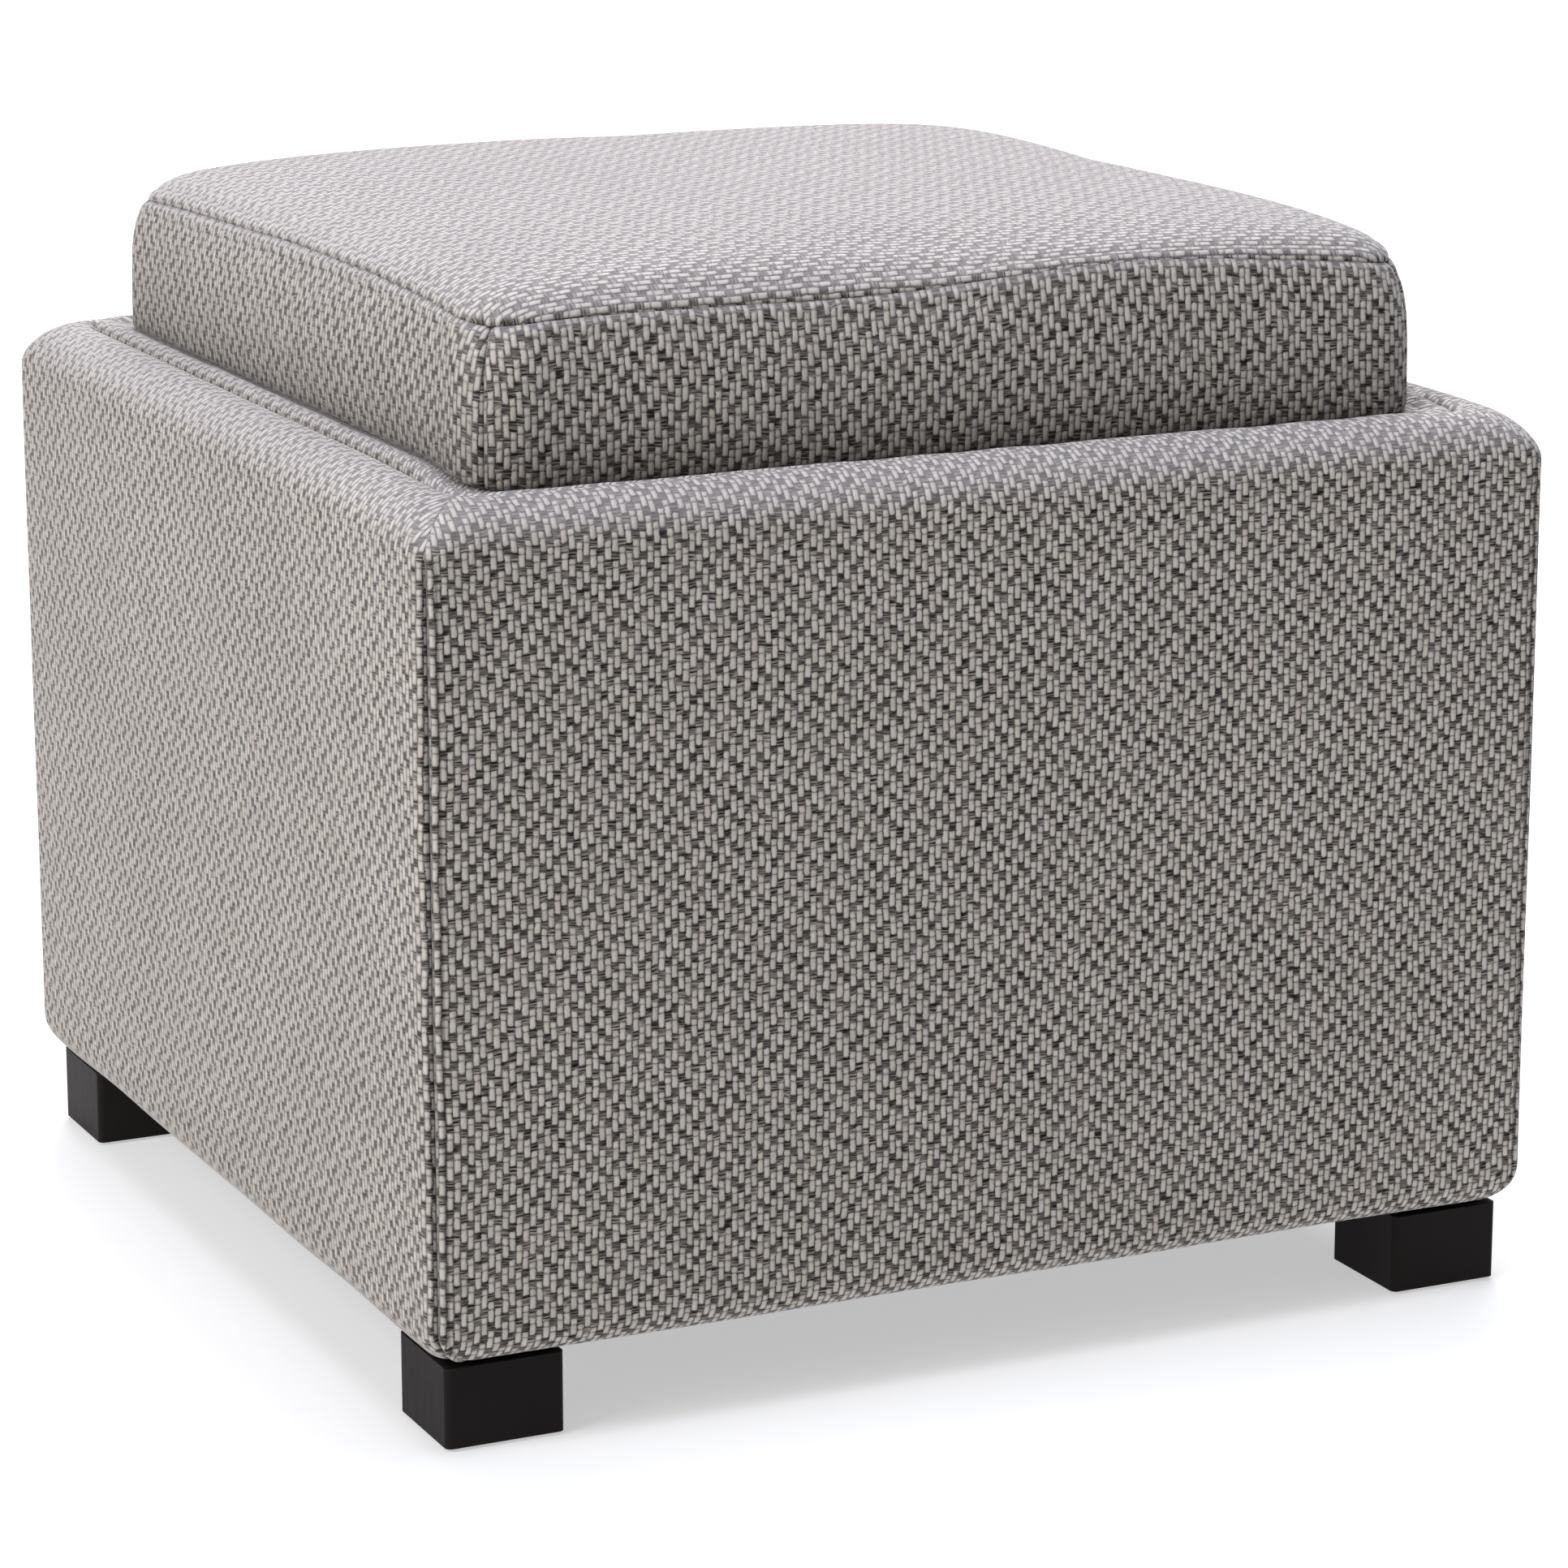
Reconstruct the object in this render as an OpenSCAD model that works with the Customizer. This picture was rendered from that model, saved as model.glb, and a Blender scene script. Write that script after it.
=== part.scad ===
// Square upholstered storage ottoman. The box stands on four block feet. The lid lifts
// off: its upper side is a boxed cushion and its underside is a shallow tray.
// Origin: on the floor under the middle of the box. +Z is up, -Y is the front.

/* [Overall] */
// Outside width and depth of the box
body_w = 457; // [430:1:480]
// Height of the rim's crest above the floor
rim_h = 346; // [320:1:360]
// Height of the cushion's highest point above the floor
seat_h = 430; // [424:1:440]
// Height of the cushion's top seam at its corners
seam_h = 400; // [392:1:404]

/* [Walls] */
// Thickness of the wall panels and the bottom board
board_t = 12; // [9:1:12]
// Thickness of the foam on the outside of the walls
foam_t = 8; // [6:1:8]
// Thickness of the foam over the walls' top edges
rim_foam_t = 10.5; // [8:0.5:12]
// Thickness of the upholstery fabric
cover_t = 1.5; // [1:0.1:1.5]
// Thickness of the lining of the storage well
lining_t = 1; // [0.5:0.5:1]
// Rounding of the box's upright corners
corner_r = 10; // [9:1:14]
// Rounding of the rim's outer edge
rim_r = 15; // [12:1:15]
// Rounding of the rim's inner edge
lip_r = 7; // [5:1:7]
// Rounding of the box's bottom edge
base_r = 15; // [12:1:15]
// Width of the fabric that is turned under the bottom
turn_under_w = 60; // [58:1:80]
// Leg of the three-cornered blocks in the inside corners
block_leg = 22; // [16:1:22]

/* [Ledge] */
// Thickness of the cleats, which is the width of the ledge
cleat_t = 9; // [7:1:9]
// Height of the cleats
cleat_h = 24; // [20:1:26]

/* [Feet] */
// Width of a square foot
foot_w = 46; // [40:1:50]
// Distance from the box's side to the foot's side
foot_inset = 8; // [6:1:10]
// Height of the fabric's underside above the floor
ground_gap = 32; // [26:1:40]
// Rounding of a foot's upright edges
foot_r = 2.5; // [1:0.5:4]

/* [Lid] */
// Gap between the lid's edge and the rim, on each side
lid_gap = 1.5; // [1:0.5:2]
// Width of the fabric band that shows round the cushion
band_w = 9; // [8:0.5:12]
// How far the band lies below the rim's crest
band_drop = 5; // [3:0.5:8]
// Thickness of the lid board
lid_board_t = 12; // [9:1:12]
// Thickness of the fabric and wadding round the lid board's edge
band_t = 1.8; // [1.5:0.1:2]
// Rounding of the cushion's upright corners
seat_r = 18; // [12:1:24]
// Height of the tray's rails
tray_rail_h = 32; // [20:1:40]
// Thickness of the tray's rails
tray_rail_t = 10; // [9:1:12]
// Thickness of the tray's panel
tray_panel_t = 3; // [2:1:4]

/* [Hidden] */
$fn = 96;

fabric_color = [0.72, 0.69, 0.67];
band_color = [0.66, 0.63, 0.61];
plywood_color = [0.80, 0.66, 0.46];
foam_color = [0.93, 0.90, 0.78];
lining_color = [0.20, 0.19, 0.19];
foot_color = [0.08, 0.07, 0.08];
tray_color = [0.22, 0.14, 0.10];
steel_color = [0.75, 0.75, 0.77];
nylon_color = [0.15, 0.15, 0.15];

// Turns that carry a front piece to the back, left and right
BACK = 180;
LEFT = -90;
RIGHT = 90;
SIDES = [0, RIGHT, BACK, LEFT];
far = 600;  // longer than anything in the model
past = 1;   // how far a cutting shape runs past the part it cuts
play = 0.1; // space round a screw or bolt in its hole

// Lid details
lid_board_r = 6;   // rounding of the lid board's corners, seen from above
band_corner_r = 8; // the same of the band
band_top_r = 5;    // rounding of the band's upper edge
band_low_r = 3;    // rounding of its lower edge
band_tuck = 0.3;   // gap between the band's lower edge and the tray
plug_inset = 3;    // how far the foam under the band's top lies inside the rest
tray_inset = 0.5;  // how far the tray lies inside the cushion's sides
tray_rail_r = 3;   // rounding of the rails' free edges

// Half-widths, from the middle of the box outwards
body_half = body_w / 2;
wall_out = body_half - cover_t - foam_t;
wall_in = wall_out - board_t;
mouth_half = wall_in - cover_t;
ledge_half = mouth_half - cleat_t;
lining_half = wall_in - lining_t;
turn_under_half = body_half - turn_under_w;
base_half = body_half - base_r;
lid_half = mouth_half - lid_gap;
lid_board_half = lid_half - band_t;
seat_half = lid_half - band_w;
seat_foam_half = seat_half - cover_t;
seat_plug_half = seat_foam_half - plug_inset;
tray_half = seat_half - tray_inset;
tray_inner_half = tray_half - tray_rail_t;

// Heights above the floor
bottom_z = ground_gap + cover_t;
floor_z = bottom_z + board_t;
well_z = floor_z + lining_t;
wall_top = rim_h - cover_t - rim_foam_t;
band_top = rim_h - band_drop;
lid_board_top = band_top - band_t;
lid_board_z = lid_board_top - lid_board_t;
band_z = lid_board_z - band_t;
rest_gap = 0.4;   // between the lid and the ledge
lining_gap = 1;   // between the lining's top and the cleats
ledge_z = band_z - rest_gap;
cleat_z = ledge_z - cleat_h;
lining_top = cleat_z - lining_gap;
tray_z = lid_board_z - tray_rail_h;

// Feet and their fittings
dust_t = 0.6;
glide_proud = 1;
foot_top = ground_gap - dust_t;
foot_mid = body_half - foot_inset - foot_w / 2;
foot_z = glide_proud;
bolt_r = 4;
bolt_depth = 19;
nut_r = 5;
nut_h = 10;
nut_flange_r = 9;
nut_flange_t = 1.5;
glide_r = 11;
glide_t = 3;
dust_inset = 2.5; // from the flat of the underside's edge to the dust cover's
dust_half = base_half - dust_inset;
dust_corner_r = 8;

// Screws: radius of the shank, and of the countersunk head
screw_r = 1.9;
head_r = 4;
head_h = 2.6;
panel_screw_l = 40;
cleat_screw_l = 18;
tray_screw_l = 30;
panel_screw_count = 4;
cleat_screw_step = 140;
tray_screw_step = 130;

// Staples round the dust cover
staple_w = 10;
staple_leg = 7;
staple_wire = 0.6;
staple_count = 10;
staple_inset = 6; // from the dust cover's edge
staple_half = dust_half - staple_inset;

// The cushion's top is part of a large ball that passes through the top seam's corners
seat_diagonal = seat_half * sqrt(2) - seat_r * (sqrt(2) - 1);
crown = seat_h - seam_h;
crown_r = (seat_diagonal ^ 2 + crown ^ 2) / (2 * crown);
crown_fn = 360;

// ---- plain shapes ----

// Square of the given half-width with round corners
module rounded_square(half, r) {
    square([2 * half, 2 * (half - r)], center = true);
    square([2 * (half - r), 2 * half], center = true);
    for (x = [-1, 1], y = [-1, 1])
        translate([x * (half - r), y * (half - r)]) circle(r);
}

// Upright bar of that square
module rounded_prism(half, r, z, h) {
    translate([0, 0, z]) linear_extrude(h) rounded_square(half, r);
}

module square_prism(half, z, h) {
    translate([-half, -half, z]) cube([2 * half, 2 * half, h]);
}

// Square whose corners are cut off at 45 degrees, leg long
module cut_square(half, leg) {
    b = half - leg;
    polygon([[half, -b], [half, b], [b, half], [-b, half],
        [-half, b], [-half, -b], [-b, -half], [b, -half]]);
}

// Stands an upright outline, drawn as [across, up], along Y and along X
module along_y() {
    rotate([90, 0, 0]) translate([0, 0, -far / 2]) linear_extrude(far) children();
}

module along_both() {
    intersection() {
        along_y() children();
        rotate([0, 0, 90]) along_y() children();
    }
}

// Upright outline with one rounding at its bottom and another at its top
module side_outline(half, z0, z1, r0, r1) {
    translate([-half, z0 + r0]) square([2 * half, z1 - z0 - r0 - r1]);
    translate([-(half - r0), z0]) square([2 * (half - r0), r0]);
    translate([-(half - r1), z1 - r1]) square([2 * (half - r1), r1]);
    for (x = [-1, 1]) {
        translate([x * (half - r0), z0 + r0]) circle(r0);
        translate([x * (half - r1), z1 - r1]) circle(r1);
    }
}

// The quarter of the plan that belongs to the front, between the two mitres
module front_quarter() {
    translate([0, 0, -past])
        linear_extrude(far) polygon([[0, 0], [-far / 2, -far / 2], [far / 2, -far / 2]]);
}

// ---- fasteners ----

// Countersunk screw, its head's top at the origin and its tip down
module screw(length, grow = 0) {
    translate([0, 0, -head_h])
        cylinder(h = head_h, r1 = screw_r + grow, r2 = head_r + grow);
    translate([0, 0, -length - grow]) cylinder(h = length + grow, r = screw_r + grow);
}

// Screws through the front panel into the edges of the side panels
module front_panel_screws(grow = 0) {
    step = (wall_top - floor_z) / panel_screw_count;
    for (x = [-1, 1], k = [0:panel_screw_count - 1])
        translate([x * (wall_out - board_t / 2), -wall_out, floor_z + step * (k + 0.5)])
            rotate([90, 0, 0]) screw(panel_screw_l, grow);
}

module all_panel_screws(grow = 0) {
    for (turn = [0, BACK]) rotate(turn) front_panel_screws(grow);
}

// Screws through the front cleat into the front panel
module front_cleat_screws(grow = 0) {
    for (k = [-1:1])
        translate([k * cleat_screw_step, -ledge_half, cleat_z + cleat_h / 2])
            rotate([-90, 0, 0]) screw(cleat_screw_l, grow);
}

// Screws from the lid board down into the front tray rail
module front_tray_screws(grow = 0) {
    for (k = [-1:1])
        translate([k * tray_screw_step, -(tray_half - tray_rail_t / 2), lid_board_top])
            screw(tray_screw_l, grow);
}

module at_feet() {
    for (x = [-1, 1], y = [-1, 1]) translate([x * foot_mid, y * foot_mid, 0]) children();
}

// ---- box: wood ----

// The front and back panels run past the ends of the left and right ones
module end_panel() {
    difference() {
        translate([-wall_out, -wall_out, floor_z])
            cube([2 * wall_out, board_t, wall_top - floor_z]);
        front_panel_screws(play);
        front_cleat_screws(play);
    }
}

module side_panel() {
    difference() {
        translate([-wall_in, -wall_out, floor_z])
            cube([2 * wall_in, board_t, wall_top - floor_z]);
        for (turn = [LEFT, RIGHT]) rotate(turn) front_panel_screws(play);
        front_cleat_screws(play);
    }
}

module front_panel() { color(plywood_color) end_panel(); }

module back_panel() { color(plywood_color) rotate(BACK) end_panel(); }

module left_panel() { color(plywood_color) rotate(LEFT) side_panel(); }

module right_panel() { color(plywood_color) rotate(RIGHT) side_panel(); }

module bottom_board() {
    color(plywood_color) difference() {
        square_prism(base_half, bottom_z, board_t);
        at_feet() {
            translate([0, 0, bottom_z - past])
                cylinder(h = board_t + 2 * past, r = nut_r + play);
            translate([0, 0, floor_z - nut_flange_t])
                cylinder(h = nut_flange_t + past, r = nut_flange_r + play);
        }
    }
}

module corner_blocks() {
    color(plywood_color) for (turn = SIDES)
        rotate(turn) translate([0, 0, floor_z])
            linear_extrude(lining_top - floor_z)
                polygon([[wall_in, wall_in], [wall_in - block_leg, wall_in],
                    [wall_in, wall_in - block_leg]]);
}

module panel_screws() { color(steel_color) all_panel_screws(); }

module cleat(half_length) {
    difference() {
        translate([-half_length, -mouth_half, cleat_z])
            cube([2 * half_length, cleat_t, cleat_h]);
        front_cleat_screws(play);
    }
}

module front_cleat() { color(plywood_color) cleat(mouth_half); }

module back_cleat() { color(plywood_color) rotate(BACK) cleat(mouth_half); }

module left_cleat() { color(plywood_color) rotate(LEFT) cleat(ledge_half); }

module right_cleat() { color(plywood_color) rotate(RIGHT) cleat(ledge_half); }

module cleat_screws() {
    color(steel_color) for (turn = SIDES) rotate(turn) front_cleat_screws();
}

// ---- box: soft parts ----

// The padded box without its mouth, drawn in by inset on every side
module body_envelope(inset) {
    intersection() {
        along_both() side_outline(body_half - inset, ground_gap + inset, rim_h - inset,
            base_r - inset, rim_r - inset);
        rounded_prism(body_half - inset, corner_r - inset, 0, far);
    }
}

// The mouth of the box, with the rim's inner rounding, let out by outset
module body_mouth(outset) {
    half = mouth_half + outset;
    r = lip_r - outset;
    along_both() difference() {
        union() {
            translate([-half, bottom_z]) square([2 * half, far]);
            translate([-(half + r), rim_h - lip_r]) square([2 * (half + r), far]);
        }
        for (x = [-1, 1]) translate([x * (half + r), rim_h - lip_r]) circle(r);
    }
}

module padded_body(inset) {
    difference() {
        body_envelope(inset);
        body_mouth(inset);
    }
}

module cover_panel() {
    difference() {
        intersection() {
            padded_body(0);
            front_quarter();
        }
        padded_body(cover_t);
        square_prism(turn_under_half, 0, floor_z);
        square_prism(wall_in + play, bottom_z, lining_top - bottom_z);
        front_cleat_screws(play);
        at_feet() cylinder(h = floor_z, r = nut_r);
    }
}

module front_cover() { color(fabric_color) cover_panel(); }

module back_cover() { color(fabric_color) rotate(BACK) cover_panel(); }

module left_cover() { color(fabric_color) rotate(LEFT) cover_panel(); }

module right_cover() { color(fabric_color) rotate(RIGHT) cover_panel(); }

// Foam on one wall, from under the wall's foot to over its top edge
module foam_panel() {
    difference() {
        intersection() {
            padded_body(cover_t);
            front_quarter();
        }
        square_prism(base_half, 0, floor_z);
        square_prism(wall_out, floor_z, wall_top - floor_z);
    }
}

module front_foam() { color(foam_color) foam_panel(); }

module back_foam() { color(foam_color) rotate(BACK) foam_panel(); }

module left_foam() { color(foam_color) rotate(LEFT) foam_panel(); }

module right_foam() { color(foam_color) rotate(RIGHT) foam_panel(); }

// The lining runs across the corner blocks
module wall_lining() {
    lining_leg = block_leg - (2 - sqrt(2)) * lining_t;
    color(lining_color) translate([0, 0, well_z]) linear_extrude(lining_top - well_z)
        difference() {
            cut_square(wall_in, block_leg);
            cut_square(lining_half, lining_leg);
        }
}

module floor_lining() {
    color(lining_color) translate([0, 0, floor_z])
        linear_extrude(lining_t) cut_square(wall_in, block_leg);
}

module dust_cover() {
    color(lining_color) difference() {
        rounded_prism(dust_half, dust_corner_r, foot_top, dust_t);
        at_feet() cylinder(h = floor_z, r = nut_r);
    }
}

module staple() {
    translate([-staple_w / 2, -staple_wire, -staple_wire])
        cube([staple_w, 2 * staple_wire, staple_wire]);
    for (x = [-staple_w / 2, staple_w / 2 - staple_wire])
        translate([x, -staple_wire, 0]) cube([staple_wire, 2 * staple_wire, staple_leg]);
}

// Evenly spaced between the feet on each side
module dust_cover_staples() {
    run = 2 * (foot_mid - foot_w / 2) - 2 * staple_w;
    color(steel_color) for (turn = SIDES, k = [0:staple_count - 1])
        rotate(turn)
            translate([run * (k / (staple_count - 1) - 0.5), -staple_half, foot_top])
                staple();
}

// ---- feet ----

module foot(x, y) {
    color(foot_color) translate([x * foot_mid, y * foot_mid, 0]) difference() {
        rounded_prism(foot_w / 2, foot_r, foot_z, foot_top - foot_z);
        translate([0, 0, foot_top - bolt_depth - play])
            cylinder(h = bolt_depth + past, r = bolt_r + play);
        translate([0, 0, -past]) cylinder(h = glide_t + past, r = glide_r + play);
    }
}

module front_left_foot() { foot(-1, -1); }

module front_right_foot() { foot(1, -1); }

module back_left_foot() { foot(-1, 1); }

module back_right_foot() { foot(1, 1); }

module foot_bolts() {
    z = foot_top - bolt_depth;
    color(steel_color) at_feet() translate([0, 0, z]) cylinder(h = floor_z - z, r = bolt_r);
}

module tee_nuts() {
    color(steel_color) at_feet() difference() {
        union() {
            translate([0, 0, floor_z - nut_h]) cylinder(h = nut_h, r = nut_r);
            translate([0, 0, floor_z - nut_flange_t])
                cylinder(h = nut_flange_t, r = nut_flange_r);
        }
        cylinder(h = floor_z + past, r = bolt_r + play);
    }
}

module foot_glides() { color(nylon_color) at_feet() cylinder(h = glide_t, r = glide_r); }

// ---- lid ----

module lid_board() {
    color(plywood_color) difference() {
        rounded_prism(lid_board_half, lid_board_r, lid_board_z, lid_board_t);
        for (turn = SIDES) rotate(turn) front_tray_screws(play);
    }
}

// Fabric round the board's edge, tucked under the cushion above and the tray below
module lid_edge_band() {
    color(band_color) difference() {
        intersection() {
            along_both() side_outline(lid_half, band_z, band_top, band_low_r, band_top_r);
            rounded_prism(lid_half, band_corner_r, 0, far);
        }
        rounded_prism(lid_board_half, lid_board_r, lid_board_z, lid_board_t);
        square_prism(seat_plug_half, lid_board_z, far);
        square_prism(tray_half + band_tuck, 0, lid_board_z + past);
    }
}

// The ball that the cushion's crown is part of, drawn in by inset
module crown_ball(inset) {
    translate([0, 0, seat_h - crown_r]) sphere(crown_r - inset, $fn = crown_fn);
}

module seat_foam() {
    color(foam_color) {
        intersection() {
            rounded_prism(seat_foam_half, seat_r - cover_t, band_top, seat_h);
            crown_ball(cover_t);
        }
        square_prism(seat_plug_half, lid_board_top, band_top - lid_board_top);
    }
}

module seat_top_cover() {
    color(fabric_color) difference() {
        intersection() {
            rounded_prism(seat_half, seat_r, band_top, seat_h);
            crown_ball(0);
        }
        crown_ball(cover_t);
    }
}

// One of the four strips between the cushion's top and the band
module boxing_strip() {
    intersection() {
        difference() {
            rounded_prism(seat_half, seat_r, band_top, seat_h);
            rounded_prism(seat_foam_half, seat_r - cover_t, 0, far);
        }
        crown_ball(cover_t);
        front_quarter();
    }
}

module front_boxing() { color(fabric_color) boxing_strip(); }

module back_boxing() { color(fabric_color) rotate(BACK) boxing_strip(); }

module left_boxing() { color(fabric_color) rotate(LEFT) boxing_strip(); }

module right_boxing() { color(fabric_color) rotate(RIGHT) boxing_strip(); }

// ---- tray on the lid's underside ----

module tray_panel() {
    color(tray_color)
        square_prism(tray_inner_half - play, lid_board_z - tray_panel_t, tray_panel_t);
}

// Upright section of a rail, with its free edge rounded
module tray_rail_section() {
    half = tray_rail_t / 2;
    translate([-half, tray_z + tray_rail_r])
        square([tray_rail_t, tray_rail_h - tray_rail_r]);
    translate([-(half - tray_rail_r), tray_z]) square([2 * (half - tray_rail_r), tray_rail_r]);
    for (x = [-1, 1]) translate([x * (half - tray_rail_r), tray_z + tray_rail_r])
        circle(tray_rail_r);
}

// Mitred rail
module tray_rail() {
    color(tray_color) difference() {
        intersection() {
            rotate([0, 0, 90]) along_y()
                translate([-(tray_half - tray_rail_t / 2), 0]) tray_rail_section();
            front_quarter();
        }
        front_tray_screws(play);
    }
}

module front_tray_rail() { tray_rail(); }

module back_tray_rail() { rotate(BACK) tray_rail(); }

module left_tray_rail() { rotate(LEFT) tray_rail(); }

module right_tray_rail() { rotate(RIGHT) tray_rail(); }

module tray_screws() {
    color(steel_color) for (turn = SIDES) rotate(turn) front_tray_screws();
}

front_panel();
back_panel();
left_panel();
right_panel();
bottom_board();
corner_blocks();
panel_screws();
front_foam();
back_foam();
left_foam();
right_foam();
front_cover();
back_cover();
left_cover();
right_cover();
wall_lining();
floor_lining();
front_cleat();
back_cleat();
left_cleat();
right_cleat();
cleat_screws();
dust_cover();
dust_cover_staples();
front_left_foot();
front_right_foot();
back_left_foot();
back_right_foot();
foot_bolts();
tee_nuts();
foot_glides();
lid_board();
lid_edge_band();
seat_foam();
seat_top_cover();
front_boxing();
back_boxing();
left_boxing();
right_boxing();
tray_panel();
front_tray_rail();
back_tray_rail();
left_tray_rail();
right_tray_rail();
tray_screws();
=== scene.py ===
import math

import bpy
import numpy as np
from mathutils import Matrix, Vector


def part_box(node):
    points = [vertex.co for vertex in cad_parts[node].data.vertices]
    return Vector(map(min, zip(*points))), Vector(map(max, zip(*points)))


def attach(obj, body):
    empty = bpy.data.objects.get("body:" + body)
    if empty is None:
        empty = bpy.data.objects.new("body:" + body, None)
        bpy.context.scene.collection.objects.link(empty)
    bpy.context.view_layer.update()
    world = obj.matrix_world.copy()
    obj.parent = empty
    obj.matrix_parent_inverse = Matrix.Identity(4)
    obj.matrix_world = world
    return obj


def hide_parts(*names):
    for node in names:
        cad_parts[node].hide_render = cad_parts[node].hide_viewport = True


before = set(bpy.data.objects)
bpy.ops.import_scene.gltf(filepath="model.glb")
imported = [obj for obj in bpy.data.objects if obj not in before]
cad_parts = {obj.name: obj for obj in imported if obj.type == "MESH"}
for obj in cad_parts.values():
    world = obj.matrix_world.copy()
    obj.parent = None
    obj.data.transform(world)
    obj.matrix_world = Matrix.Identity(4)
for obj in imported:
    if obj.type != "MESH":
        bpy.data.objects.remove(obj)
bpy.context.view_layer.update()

# Looks of the storage ottoman, built around its imported frame. Metres, +Z up, the front towards -Y.
# Soft parts are grids made from a cross-section and a plan outline; the cushion is inflated as cloth.
# Each fabric mesh carries two attributes: "weave" (metres across the warps, metres along them, a seed)
# and one of painted shade (how much the fabric is darkened in seam valleys, folds and low on the boxing,
# from 0 to 1).

MM = 0.001


# -------- sizes, all from the frame

def low(node):
    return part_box(node)[0]


def high(node):
    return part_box(node)[1]


BODY_HALF = high("back_cover").y
BASE_Z = low("front_cover").z
RIM_Z = high("front_cover").z
TURN_UNDER_HALF = -high("front_cover").y
MOUTH_HALF = -low("front_cleat").y
LINING_TOP = high("wall_lining").z
FLOOR_Z = low("floor_lining").z
WALL_IN_HALF = high("wall_lining").x
BAND_HALF = high("lid_edge_band").x
BAND_Z = low("lid_edge_band").z
BOARD_HALF = high("lid_board").x
SEAT_HALF = high("seat_top_cover").x

# Rounding of the box
RIM_R = 18.5 * MM
RIM_SAG = 1.8 * MM      # how much lower the rim lies along its front
LIP_R = 4 * MM
BASE_R = 15 * MM
UPRIGHT_R = 9 * MM      # upright corners, at the outside
CREST_R = 17 * MM       # the same corner seen from above, at the rim's crest
MOUTH_R = 12 * MM       # corner of the mouth
UNDER_R = 12 * MM       # and of the turned-under edge
FABRIC_T = 1.2 * MM
WALL_FOAM_T = 6.0 * MM
WALL_CROWN = 1.8 * MM   # how far the foam swells each wall

# Cushion. The lid lies a little deeper along its front, where the band hides behind the rim
FOOT_Z = 346.2 * MM     # bottom of the boxing
FOOT_DIP = 5.0 * MM
SEAM_CORNER_Z = 398.5 * MM
TOP_ARCH = 6.2 * MM     # rise of the top from a side's end to its middle
ARCH_POWER = 6.0        # and how level it is there
CROWN = 4.5 * MM        # further rise of the top to its middle
CROWN_POWER = 2.2
ROLL = 22 * MM          # width over which the top rolls down to its seam
EDGE_ROUND = 3.2 * MM   # and how far it drops there
SEAM_ROLL = 11 * MM     # the last of it, close beside the seam, is steeper
SEAM_ROUND = 2.6 * MM
SEAM_RISE = 3.0 * MM    # of the top seam above its corners, and where along each side it peaks:
SEAM_PEAKS = {          # position -1..1, width, height
    "front": (0.36, 0.40, 5.5 * MM), "right": (0.0, 0.55, 3.8 * MM),
    "back": (0.0, 0.55, 3.8 * MM), "left": (0.15, 0.62, 4.6 * MM)}
SIDES = ("front", "right", "back", "left")    # anticlockwise, each a quarter turn on from the last
TUCK_R = 3 * MM         # rounding of the boxing's bottom edge
SEAM_HALF = 190.5 * MM
SEAM_CORNER_R = 25 * MM
SEAT_CORNER_R = 22 * MM
LEAN_POWER = 6.0        # how late the boxing starts to lean in towards the seam

ALLOWANCE = 4.4 * MM    # width of the seam allowance that shows through the fabric
TOP_RIDGE = 0.5 * MM    # how high it stands on the cushion's top
BOXING_RIDGE = 0.25 * MM    # and on the cushion's sides

# Weave
PITCH = 2.62 * MM       # from one warp to the next
REPEAT = 10.4 * MM      # along a warp

STRAIGHT, QUARTER = 0, math.pi / 2


# -------- small helpers

def smoothstep(x, width):
    """Rises from 0 at 0 to 1 at width, level at both."""
    x = np.clip(x / width, 0.0, 1.0)
    return x * x * (3 - 2 * x)


def rounded(x, width):
    """Rises from 0 at 0, where it is steep, to 1 at width, where it is level."""
    x = np.clip(x / width, 0.0, 1.0)
    return x * (2 - x)


def bell(x, width):
    return np.exp(-(x / width) ** 2)


def spaced(length, step):
    """Even steps from 0 to length, about step apart."""
    return np.linspace(0, length, max(2, int(round(length / step)) + 1))


def graded(half, fine, fine_width, coarse):
    """Points from -half to half: fine steps near both ends, growing to coarse ones in the middle."""
    from_end = [0.0]
    step = fine
    while from_end[-1] + step < half:
        from_end.append(from_end[-1] + step)
        if from_end[-1] > fine_width:
            step = min(coarse, step * 1.25)
    from_end[-1] = half
    left = np.array(from_end) - half
    return np.concatenate([left, -left[-2::-1]])


def side_columns(half, fine, fine_width, coarse):
    """Graded points from -1 to 1 along a side whose half-width is given."""
    return graded(1.0, fine / half, fine_width / half, coarse / half)


def outline(parts, step):
    """An open outline from ("line", to, own step if any) and ("arc", centre, radius, from, to)."""
    points = []
    for part in parts:
        if part[0] == "line":
            end = np.array(part[1])
            if points:
                start = points[-1]
                run = spaced(np.linalg.norm(end - start), part[2] if len(part) > 2 else step)
                points += [start + (end - start) * t for t in (run / run[-1])[1:]]
            else:
                points.append(end)
        else:
            _, centre, radius, begin, finish = part
            run = spaced(abs(finish - begin) * radius, step)
            angles = begin + (finish - begin) * run / run[-1]
            arc = [np.array(centre) + radius * np.array([math.cos(a), math.sin(a)]) for a in angles]
            points += arc if not points else arc[1:]
    return np.array(points)


def lengths(points):
    """Distance along a line of points, from its start."""
    steps = np.linalg.norm(np.diff(points, axis=0), axis=1)
    return np.concatenate([[0], np.cumsum(steps)])


def across_from_middle(points):
    """Distance along each row of a grid of points, from the middle of the row."""
    steps = np.linalg.norm(np.diff(points, axis=1), axis=-1)
    travel = np.concatenate([np.zeros((len(points), 1)), np.cumsum(steps, axis=1)], 1)
    return travel - travel[:, -1:] / 2


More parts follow.
